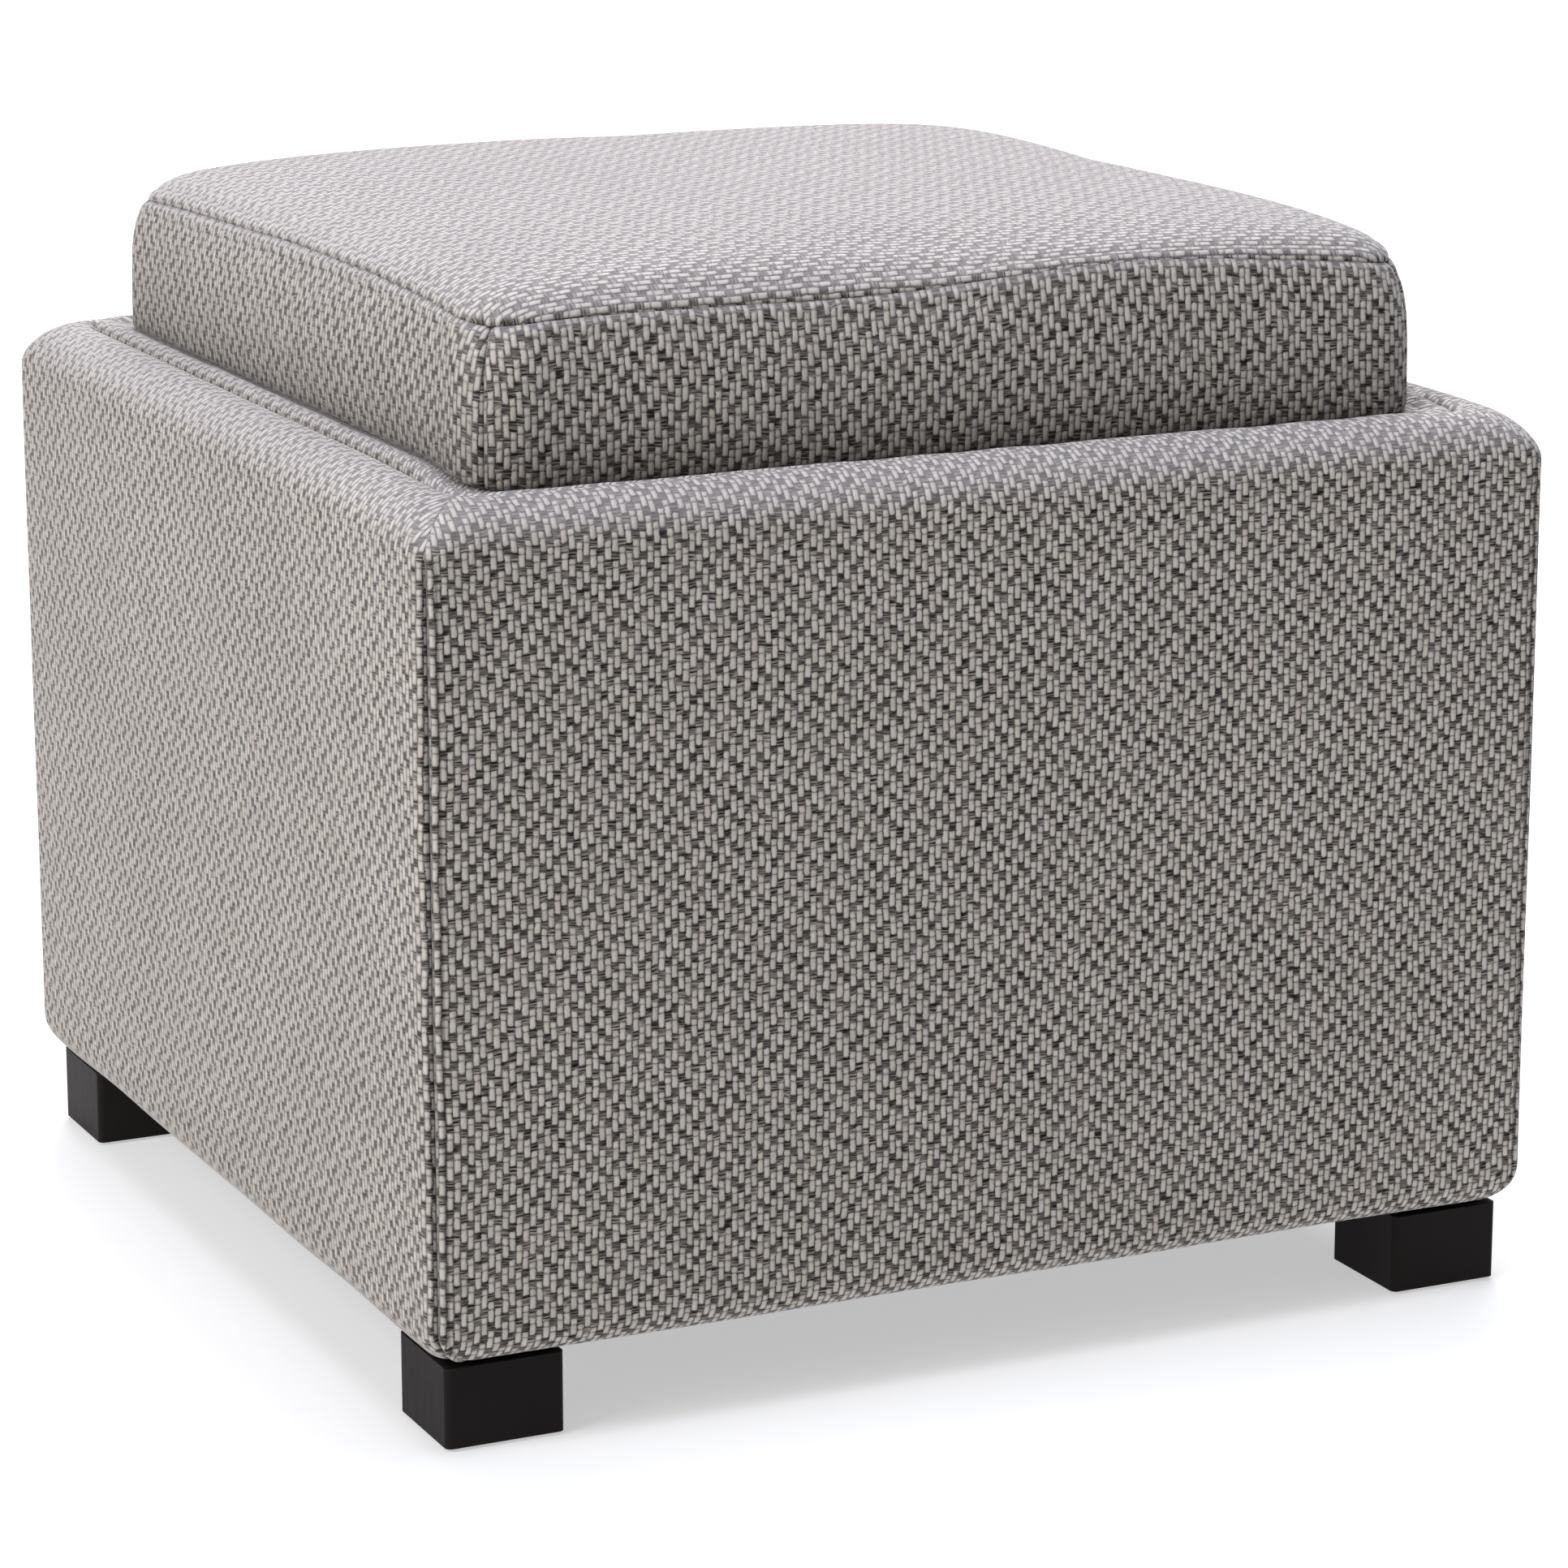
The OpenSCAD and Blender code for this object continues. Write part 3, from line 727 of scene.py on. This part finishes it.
def build_lining(material):
    """The dark cloth on the walls and floor of the storage well."""
    leg = 22 * MM
    half = WALL_IN_HALF - 1.6 * MM
    corner = half - leg
    ring = outline([
        ("line", (0.0, -half)), ("line", (corner, -half), 6 * MM), ("line", (half, -corner), 3 * MM),
        ("line", (half, 0.0), 6 * MM)], 6 * MM)
    quarter = np.concatenate([ring, np.zeros((len(ring), 1))], 1)
    around = np.concatenate([turned(quarter[:-1], k) for k in range(4)] + [quarter[:1]])
    heights = spaced(LINING_TOP - FLOOR_Z - 1.2 * MM, 6 * MM) + FLOOR_Z + 0.6 * MM
    points = np.repeat(around[None, :, :], len(heights), 0)
    points[..., 2] = heights[:, None]
    travel = lengths(around)
    weave = np.stack(np.meshgrid(travel, heights), -1)
    slack = smoothstep(heights - heights[0], 40 * MM) * smoothstep(heights[-1] - heights, 25 * MM)
    ripple = noise(points * np.array([1, 1, 0.35]), 45 * MM, 21) * slack[:, None]
    normal = normals_of(points, wrap=True)
    points = points - normal * (0.7 * MM * (ripple - 1.0))[..., None]
    points[:, -1] = points[:, 0]
    walls = grid_piece("well_lining", points, weave, 1, wrap=True, flip=True)
    finish_sheet(walls, 0.7 * MM, material)
    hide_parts("wall_lining")
    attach(walls, "box")

    steps = side_columns(half, 1.2 * MM, 6 * MM, 7 * MM)
    a, b = np.meshgrid(steps, steps)
    x, y = round_square(a, b, half - 0.2 * MM, leg)
    edge = np.maximum(np.abs(a), np.abs(b))
    lift = 1.0 * MM + 1.6 * MM * np.sqrt(np.clip(1 - edge ** 40, 0, 1))
    lift += 0.5 * MM * noise(np.stack([x, y, 0 * x], -1), 60 * MM, 5) * (1 - edge ** 6)
    points = np.stack([x, y, FLOOR_Z + lift], -1)
    floor = grid_piece("well_floor_pad", points, np.stack([x, y], -1), 2)
    finish_sheet(floor, 0.8 * MM, material)
    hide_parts("floor_lining")
    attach(floor, "box")


def build_dust_cover(material):
    """Black cloth stapled under the bottom: flat over the feet, hanging a little between them."""
    half = high("dust_cover").x
    steps = side_columns(half, 3 * MM, 20 * MM, 9 * MM)
    a, b = np.meshgrid(steps, steps)
    x, y = a * half, b * half
    slack = (1 - np.abs(a) ** 4) * (1 - np.abs(b) ** 4)
    place = np.stack([x, y, 0 * x], -1)
    hang = (0.9 + 0.5 * noise(place, 90 * MM, 31)) * slack * MM
    over_foot = np.minimum(np.abs(x), np.abs(y)) > low("front_right_foot").x - 6 * MM
    hang = np.where(over_foot, 0.0, hang)
    points = np.stack([x, y, high("dust_cover").z - 0.1 * MM - hang], -1)
    cover = grid_piece("dust_cloth_sheet", points, np.stack([x, y], -1), 3, flip=True)
    finish_sheet(cover, 0.4 * MM, material)
    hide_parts("dust_cover")
    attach(cover, "box")


# -------- lid: cushion

def arch(s):
    """From 0 at the ends of a side to 1 in its middle."""
    return 1 - np.abs(s) ** ARCH_POWER


def seam_rise(side, s):
    """Height of a side's top seam above the cushion's corners. No two sides are quite alike."""
    place, width, height = SEAM_PEAKS[side]
    return (1 - np.abs(s) ** 6) * (SEAM_RISE + height * bell(s - place, width))


def foot_lift(points):
    """Height that the lid's edge gains: -FOOT_DIP on its front, fading out backwards."""
    return -FOOT_DIP * (1 - smoothstep(points[..., 1] + SEAT_HALF + 2 * MM, 50 * MM))


def cushion_top(a, b, shrink=0.0):
    """The cushion's top panel over the square -1..1."""
    x, y = round_square(a, b, SEAM_HALF - shrink, SEAM_CORNER_R)
    rise = TOP_ARCH * (arch(a) + arch(b))
    rise += (CROWN - shrink) * (1 - np.abs(a) ** CROWN_POWER) * (1 - np.abs(b) ** CROWN_POWER)
    from_a, from_b = (1 - np.abs(a)) * SEAM_HALF, (1 - np.abs(b)) * SEAM_HALF
    for width, drop in ((ROLL, EDGE_ROUND), (SEAM_ROLL, SEAM_ROUND)):
        rise += drop * rounded(from_a, width) * rounded(from_b, width)
    for side, along, inward in zip(SIDES, (a, b, -a, -b), (1 + b, 1 - a, 1 - b, 1 + a)):
        near = 1 - rounded(inward * SEAM_HALF, ROLL)
        rise += (seam_rise(side, along) - TOP_ARCH * arch(along)) * near
    return np.stack([x, y, SEAM_CORNER_Z + rise], -1)


def cushion_side(side, s, t, shrink=0.0):
    """A boxing strip, before it is turned to its side: s from corner to corner, t from foot to seam."""
    seam = SEAM_CORNER_Z + seam_rise(side, s)
    lean = t ** LEAN_POWER
    half = SEAT_HALF - shrink + (SEAM_HALF - SEAT_HALF) * lean
    radius = SEAT_CORNER_R + (SEAM_CORNER_R - SEAT_CORNER_R) * lean
    x, y = round_square(s, -np.ones_like(s), half, radius)
    return np.stack([x, y, FOOT_Z + (seam - FOOT_Z) * t], -1)


def edges_of(top):
    """The four edges of the top's grid, each in the direction of its side."""
    return [top[0], top[:, -1], top[-1, ::-1], top[::-1, 0]]


CLOTH_N = 48            # squares along a side of the simulated cushion
CLOTH_ROWS = 8          # squares up its boxing
CLOTH_FRAMES = 20
START_SHRINK = 0.3 * MM    # the cushion before it is inflated is this much smaller all round
SWELL_SHARE = 0.3       # the foam holds the cover flatter than the cloth alone would be
SWELL_CAP = 9.0 * MM
WELD = 0.02 * MM        # points that share an edge are joined when this close


def cushion_start():
    """The cushion's skin before it is inflated: coarse grids of its top, its four sides and its bottom."""
    grid = np.linspace(-1, 1, CLOTH_N + 1)
    a, b = np.meshgrid(grid, grid)
    s, t = np.meshgrid(grid, np.linspace(0, 1, CLOTH_ROWS + 1))
    top = cushion_top(a, b, START_SHRINK)
    sides = [turned(cushion_side(side, s, t, START_SHRINK), k) for k, side in enumerate(SIDES)]
    for side, edge in zip(sides, edges_of(top)):
        side[-1] = edge
    x, y = round_square(a, b, SEAT_HALF - START_SHRINK, SEAT_CORNER_R)
    return [top, *sides, np.stack([x, y, np.full_like(x, FOOT_Z)], -1)]


def welded(grids):
    """One closed skin of all the grids: its points, its faces, and which point each grid point became."""
    points = np.concatenate([grid.reshape(-1, 3) for grid in grids])
    faces = []
    start = 0
    for grid in grids:
        rows, columns = grid.shape[:2]
        faces.append(quads_of(np.arange(rows * columns).reshape(rows, columns) + start))
        start += rows * columns
    faces[-1] = faces[-1][:, ::-1]    # the bottom faces down
    keys = np.round(points / WELD).astype(np.int64)
    _, first, member = np.unique(keys, axis=0, return_index=True, return_inverse=True)
    member = member.reshape(-1)
    return points[first], member[np.concatenate(faces)], member


def inflated(points, faces, resting):
    """Blows the skin up as cloth, held where it rests on the board. Returns moved points and edges."""
    mesh = bpy.data.meshes.new("cushion_cloth")
    mesh.from_pydata(points.tolist(), [], faces.tolist())
    mesh.update()
    piece = add_object("cushion_cloth", mesh)
    piece.vertex_groups.new(name="held").add(resting.tolist(), 1.0, "REPLACE")
    cloth = piece.modifiers.new("cloth", "CLOTH")
    settings = cloth.settings
    settings.vertex_group_mass = "held"
    settings.quality = 6
    settings.mass = 0.4
    settings.tension_stiffness = settings.compression_stiffness = 200
    settings.bending_stiffness = 10
    settings.use_pressure = True
    settings.uniform_pressure_force = 4.0
    settings.effector_weights.gravity = 0.0
    cloth.collision_settings.use_self_collision = False
    scene = bpy.context.scene
    for span in (scene, cloth.point_cache):
        span.frame_start, span.frame_end = 1, CLOTH_FRAMES
    for frame_number in range(1, CLOTH_FRAMES + 1):
        scene.frame_set(frame_number)
    graph = bpy.context.evaluated_depsgraph_get()
    moved = np.zeros(len(points) * 3)
    piece.evaluated_get(graph).data.vertices.foreach_get("co", moved)
    edges = np.zeros(len(mesh.edges) * 2, int)
    mesh.edges.foreach_get("vertices", edges)
    bpy.data.objects.remove(piece)
    scene.frame_set(1)
    return moved.reshape(-1, 3), edges.reshape(-1, 2)


def evened(swell, edges, resting):
    """The swell with single wrinkled points evened out."""
    for _ in range(3):
        total, count = np.zeros_like(swell), np.zeros((len(swell), 1))
        for a, b in ((0, 1), (1, 0)):
            np.add.at(total, edges[:, a], swell[edges[:, b]])
            np.add.at(count, edges[:, a], 1)
        swell = 0.5 * swell + 0.5 * total / count
        swell[resting] = 0
    return swell


def simulated_swell():
    """Inflates the cushion. Returns how far each point moved, for the top and for the four sides."""
    grids = cushion_start()
    points, faces, member = welded(grids)
    resting = np.nonzero(points[:, 2] < FOOT_Z + 1 * MM)[0]
    moved, edges = inflated(points, faces, resting)
    swell = evened(moved - points, edges, resting)
    far = np.linalg.norm(swell, axis=1, keepdims=True)
    swell *= SWELL_SHARE / np.sqrt(1 + (far / SWELL_CAP) ** 2)
    parts, start = [], 0
    for grid in grids[:-1]:
        count = grid.shape[0] * grid.shape[1]
        parts.append(swell[member[start:start + count]].reshape(grid.shape))
        start += count
    return parts[0], parts[1:]


def longer_than_plan(points, axis):
    """How much longer a grid's lines are than their plan, from the middle out: slopes stretch no yarn."""
    steps = np.diff(points, axis=axis)
    extra = np.linalg.norm(steps, axis=-1) - np.linalg.norm(steps[..., :2], axis=-1)
    total = np.concatenate([0 * extra.take([0], axis), np.cumsum(extra, axis=axis)], axis)
    return total - total.take([points.shape[axis] // 2], axis)


def seam_relief(distance, ridge_height):
    """Height and painted shade beside a sewn seam: a valley on the stitches, and a ridge over the
    allowance.
    """
    valley = bell(distance, 1.0 * MM)
    fold = bell(distance - ALLOWANCE - 0.6 * MM, 0.9 * MM)
    ridge = smoothstep(distance - 0.6 * MM, 1.4 * MM)
    ridge *= smoothstep(ALLOWANCE + 1 * MM - distance, 2 * MM)
    share = ridge_height / MM
    height = ridge * ridge_height - 0.5 * MM * valley - 0.3 * ridge_height * fold
    # The second value is painted shade in the valley on the stitches and along the fold of the allowance
    return height, 0.5 * valley + 0.3 * share * fold


def build_cushion(material, foam_material):
    top_swell, side_swells = simulated_swell()
    shrink = START_SHRINK
    build_cushion_top(top_swell, shrink, material)
    for k, side in enumerate(SIDES):
        build_boxing(side, k, side_swells[k], shrink, material)
    build_seat_foam(top_swell, side_swells, shrink, foam_material)


def top_points(columns, swell, shrink):
    a, b = np.meshgrid(columns, columns)
    place = (columns + 1) / 2 * CLOTH_N
    return cushion_top(a, b, shrink) + resample(swell, place, place)


def build_cushion_top(swell, shrink, material):
    columns = side_columns(SEAM_HALF, 0.7 * MM, 10 * MM, 4.5 * MM)
    points = top_points(columns, swell, shrink)
    a, b = np.meshgrid(columns, columns)
    x, y = round_square(a, b, SEAM_HALF, SEAM_CORNER_R)
    weave = np.stack([y + longer_than_plan(points, 0), x + longer_than_plan(points, 1)], -1)
    to_seam = SEAM_HALF * (1 - np.maximum(np.abs(a), np.abs(b)))
    relief, painted_shade = seam_relief(to_seam, TOP_RIDGE)
    relief = relief + 0.4 * MM * noise(points, 70 * MM, 8)
    points = points + normals_of(points) * relief[..., None]
    top = grid_piece("cushion_top", points, weave, 21, painted_shade)
    finish_sheet(top, FABRIC_T, material)
    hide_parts("seat_top_cover")
    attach(top, "lid")


def boxing_points(quarter_turns, swell, shrink, s_values, t_values):
    s, t = np.meshgrid(s_values, t_values)
    points = turned(cushion_side(SIDES[quarter_turns], s, t, shrink), quarter_turns)
    points[..., 2] += foot_lift(points) * (1 - t)
    return points + resample(swell, t_values * CLOTH_ROWS, (s_values + 1) / 2 * CLOTH_N)


def build_boxing(side, quarter_turns, swell, shrink, material):
    """One strip of the cushion's side. Its bottom edge is tucked under, its top edge is the seam."""
    columns = side_columns(SEAT_HALF, 0.7 * MM, 8 * MM, 4.5 * MM)
    height = SEAM_CORNER_Z - FOOT_Z
    rows = (graded(height / 2, 0.6 * MM, 5 * MM, 3.5 * MM) + height / 2) / height
    under = np.array([9, 6, 3.5, 1.5]) * MM     # how far each row of the tucked-under edge lies inside
    points = boxing_points(quarter_turns, swell, shrink, columns, np.concatenate([0 * under, rows]))
    up = np.concatenate([0 * under, rows])[:, None] * height
    across = across_from_middle(points[:, :, :2])
    hem = np.concatenate([under, 0 * rows])[:, None]
    down = np.broadcast_to(height - up + hem, across.shape)

    to_corner = np.abs(across[:, :1]) - np.abs(across)
    relief, painted_shade = seam_relief(height - up, BOXING_RIDGE)
    corner = bell(to_corner, 1.0 * MM)
    ridge = smoothstep(to_corner, 1.5 * MM) * smoothstep(ALLOWANCE + 1 * MM - to_corner, 2 * MM)
    relief = relief + (0.3 * ridge - 0.6 * corner) * MM + 0.3 * MM * noise(points, 40 * MM, 9)
    curl = 1 - np.clip(up / TUCK_R, 0, 1)
    tuck = TUCK_R * (1 - np.sqrt(1 - curl ** 2)) + hem
    facing = normals_of(boxing_points(quarter_turns, swell, shrink, columns, rows))
    facing = np.concatenate([np.repeat(facing[:1], len(under), 0), facing])
    level = facing * np.array([1, 1, 0])
    level /= np.linalg.norm(level, axis=-1, keepdims=True)
    points = points + facing * relief[..., None] - level * tuck[..., None]
    # Painted shade: darker all over, more towards the foot, in the corner seams and under the tucked edge
    painted_low_shade = 0.15 * (1 - (up / height) ** 3) + 0.32 * np.exp(-up / (14 * MM))
    painted_shade = np.clip(painted_shade + 0.35 * corner + 0.5 * curl ** 2 + painted_low_shade, 0, 1)
    weave = np.stack([across, down], -1)
    piece = grid_piece(f"{side}_boxing_strip", points, weave, 31 + quarter_turns, painted_shade)
    finish_sheet(piece, FABRIC_T, material)
    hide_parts(f"{side}_boxing")
    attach(piece, "lid")


def build_seat_foam(top_swell, side_swells, shrink, material):
    """The foam block inside the cushion: the same shape, drawn in under the fabric."""
    inset = FABRIC_T + 1.6 * MM
    columns = side_columns(SEAM_HALF, 3 * MM, 6 * MM, 9 * MM)
    rows = np.linspace(0.06, 1, 12)
    top = top_points(columns, top_swell, shrink)
    top = top - normals_of(top) * inset
    sides = []
    for k in range(4):
        side = boxing_points(k, side_swells[k], shrink, columns, rows)
        sides.append(side - normals_of(side) * inset)
    rings = [np.concatenate([side[row][:-1] for side in sides]) for row in range(len(rows))]
    rings[-1] = np.concatenate([edge[:-1] for edge in edges_of(top)])
    rings[-2] = rings[-2] * 0.5 + (rings[-1] + rings[-3]) * 0.25
    # The numbers of the top's points, of its border, and of the rings below it
    count = len(columns)
    index = np.arange(count * count).reshape(count, count)
    border = np.concatenate([edge[:-1] for edge in edges_of(index)])
    around = len(border)
    lower = np.arange(around * (len(rows) - 1)).reshape(-1, around) + count * count
    loops = np.concatenate([lower, border[None, :]])
    faces = [*quads_of(index).tolist(), *quads_of(loops, wrap=True).tolist(), loops[0][::-1].tolist()]
    mesh = bpy.data.meshes.new("seat_foam_block")
    mesh.from_pydata(np.concatenate([top.reshape(-1, 3), *rings[:-1]]).tolist(), [], faces)
    mesh.shade_smooth()
    piece = add_object("seat_foam_block", mesh)
    dress(piece, material)
    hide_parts("seat_foam")
    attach(piece, "lid")


# -------- lid: band

def build_band(material):
    """Fabric over soft wadding round the edge of the lid board, closed all the way round."""
    outer = BAND_HALF + 1.2 * MM
    top_r, low_r = 4.4 * MM, 3.0 * MM
    top = FOOT_Z + 2.2 * MM
    section = outline([
        ("line", (BOARD_HALF - 9 * MM, BAND_Z)),
        ("line", (outer - low_r, BAND_Z)),
        ("arc", (outer - low_r, BAND_Z + low_r), low_r, -QUARTER, STRAIGHT),
        ("line", (outer, top - top_r)),
        ("arc", (outer - top_r, top - top_r), top_r, STRAIGHT, QUARTER * 1.35),
        ("line", (SEAT_HALF + 0.6 * MM, FOOT_Z - 0.2 * MM)),
        ("line", (SEAT_HALF - 9 * MM, FOOT_Z - 0.6 * MM)),
    ], 0.8 * MM)
    radius = np.full(len(section), 12 * MM) - (outer - section[:, 0]) * 0.5
    columns = side_columns(outer, 1.0 * MM, 12 * MM, 4 * MM)
    quarter = ring_points(section, radius, columns)
    points = np.concatenate([turned(quarter, k)[:, :-1] for k in range(4)] + [quarter[:, :1]], 1)
    middle = points[len(section) // 2]
    travel = lengths(middle)
    repeats = round(travel[-1] / (4 * PITCH))
    across = travel * repeats * 4 * PITCH / travel[-1]
    down = lengths(section)[-1] - lengths(section)
    weave = np.stack(np.meshgrid(across, down), -1)
    bumps = 0.3 * MM * noise(points, 18 * MM, 14)
    points = points + normals_of(points, wrap=True) * bumps[..., None]
    points[..., 2] += foot_lift(points) * smoothstep(points[..., 2] - BAND_Z, FOOT_Z - BAND_Z)
    points[:, -1] = points[:, 0]
    piece = grid_piece("lid_edge_wrap", points, weave, 41, wrap=True)
    finish_sheet(piece, FABRIC_T, material)
    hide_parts("lid_edge_band")
    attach(piece, "lid")


# -------- rigid parts kept from the frame

def dress_rigid_parts():
    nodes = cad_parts
    birch_pale, birch_deep = linear(222, 196, 152), linear(196, 164, 118)
    birch = {axis: wood(f"birch_plywood_{axis}", birch_pale, birch_deep, stretch, 0.62)
             for axis, stretch in (("x", (0.12, 1, 1)), ("y", (1, 0.12, 1)), ("z", (1, 1, 0.12)))}
    veneer_pale, veneer_deep = linear(74, 52, 42), linear(46, 31, 26)
    veneer = {axis: wood(f"dark_veneer_{axis}", veneer_pale, veneer_deep, stretch, 0.4, 0.35)
              for axis, stretch in (("x", (0.1, 1, 1)), ("y", (1, 0.1, 1)))}
    feet, steel, nylon = foot_finish(), plated_steel(), moulded_nylon()
    looks = {"bottom_board": birch["x"], "lid_board": birch["x"], "corner_blocks": birch["z"],
             "tray_panel": veneer["x"], "foot_glides": nylon}
    for side, grain in (("front", "x"), ("back", "x"), ("left", "y"), ("right", "y")):
        looks[f"{side}_panel"] = birch[grain]
        looks[f"{side}_cleat"] = birch[grain]
        looks[f"{side}_tray_rail"] = veneer[grain]
    looks.update({f"{a}_{b}_foot": feet for a in ("front", "back") for b in ("left", "right")})
    looks.update({name: steel for name in ("panel_screws", "cleat_screws", "tray_screws",
                                           "foot_bolts", "tee_nuts", "dust_cover_staples")})
    for name, material in looks.items():
        dress(nodes[name], material)
        if name.endswith("_foot"):
            ease_edges(nodes[name], 1.0 * MM)
        elif name.endswith(("_cleat", "_tray_rail")):
            ease_edges(nodes[name], 0.8 * MM)


# -------- stage

AIM = (0, 0, 0.25)       # middle of the ottoman
FLOOR_HALF = 14.0
FLOOR_TOP = -0.2 * MM    # just under the glides
FLOOR_GLOW = 0.5         # makes the floor read white round the ottoman
WORLD_STRENGTH = 0.14
LAMPS = (                # name, place, aimed at, size, power, tint
    ("key_left", (-2.8, -0.58, 2.0), AIM, (1.8, 1.8), 62, (1.0, 0.99, 0.98)),
    ("overhead", (-0.1, -0.2, 3.0), AIM, (1.6, 1.6), 66, (0.85, 0.88, 1.0)),
    ("background", (2.0, 4.2, 3.0), (2.0, 4.2, 0), (3.4, 4.6), 420, (1.0, 1.0, 1.0)))

# The camera that fits the photo: place in widths of the box, angles in degrees, lens in mm
CAMERA_PLACE = (-1.9098, -4.1206, 1.5109)
CAMERA_HEADING = 25.29
CAMERA_TILT = 13.986
CAMERA_LENS = 121.7
SENSOR = 36


def area_light(name, place, target, size, power, tint):
    light = bpy.data.lights.new(name, "AREA")
    light.shape = "RECTANGLE"
    light.size, light.size_y = size
    light.energy = power
    light.color = tint
    lamp = add_object(name, light)
    lamp.location = place
    lamp.rotation_euler = (Vector(target) - Vector(place)).to_track_quat("-Z", "Y").to_euler()


def build_stage():
    line = np.linspace(-FLOOR_HALF, FLOOR_HALF, 9)
    x, y = np.meshgrid(line, line)
    points = np.stack([x, y, np.full_like(x, FLOOR_TOP)], -1)
    floor = grid_piece("studio_floor", points, np.stack([x, y], -1), 0)
    g = Graph("studio_floor")
    speckle = g.noise(g.place(), 40, 2.0)
    g.color(g.mix(speckle, (0.55, 0.55, 0.555), (0.57, 0.57, 0.575)))
    g.set(Roughness=0.9, Specular_IOR_Level=0.1, Emission_Strength=FLOOR_GLOW)
    g.shader.inputs["Emission Color"].default_value = (1, 1, 1, 1)
    floor.data.materials.append(g.material)

    world = bpy.data.worlds.new("studio")
    world.use_nodes = True
    background = world.node_tree.nodes["Background"]
    background.inputs["Color"].default_value = (1.0, 0.985, 0.97, 1)
    background.inputs["Strength"].default_value = WORLD_STRENGTH
    bpy.context.scene.world = world
    for lamp in LAMPS:
        area_light(*lamp)


def build_camera():
    """Seen from the front left and a little above, through a long lens."""
    camera_data = bpy.data.cameras.new("camera")
    camera_data.sensor_width = SENSOR
    camera_data.lens = CAMERA_LENS
    camera_data.clip_start, camera_data.clip_end = 0.05, 60
    camera = add_object("camera", camera_data)
    camera.location = [part * 2 * BODY_HALF for part in CAMERA_PLACE]
    camera.rotation_euler = (math.pi / 2 - math.radians(CAMERA_TILT), 0, -math.radians(CAMERA_HEADING))
    scene = bpy.context.scene
    scene.camera = camera
    scene.view_settings.view_transform = "Standard"


cloth_material = woven_fabric()
foam_material = foam()
lining_material = lining_cloth()
build_body_upholstery(cloth_material)
build_body_foam(foam_material)
build_lining(lining_material)
build_dust_cover(dust_cloth())
build_cushion(cloth_material, foam_material)
build_band(cloth_material)
dress_rigid_parts()
build_stage()
build_camera()
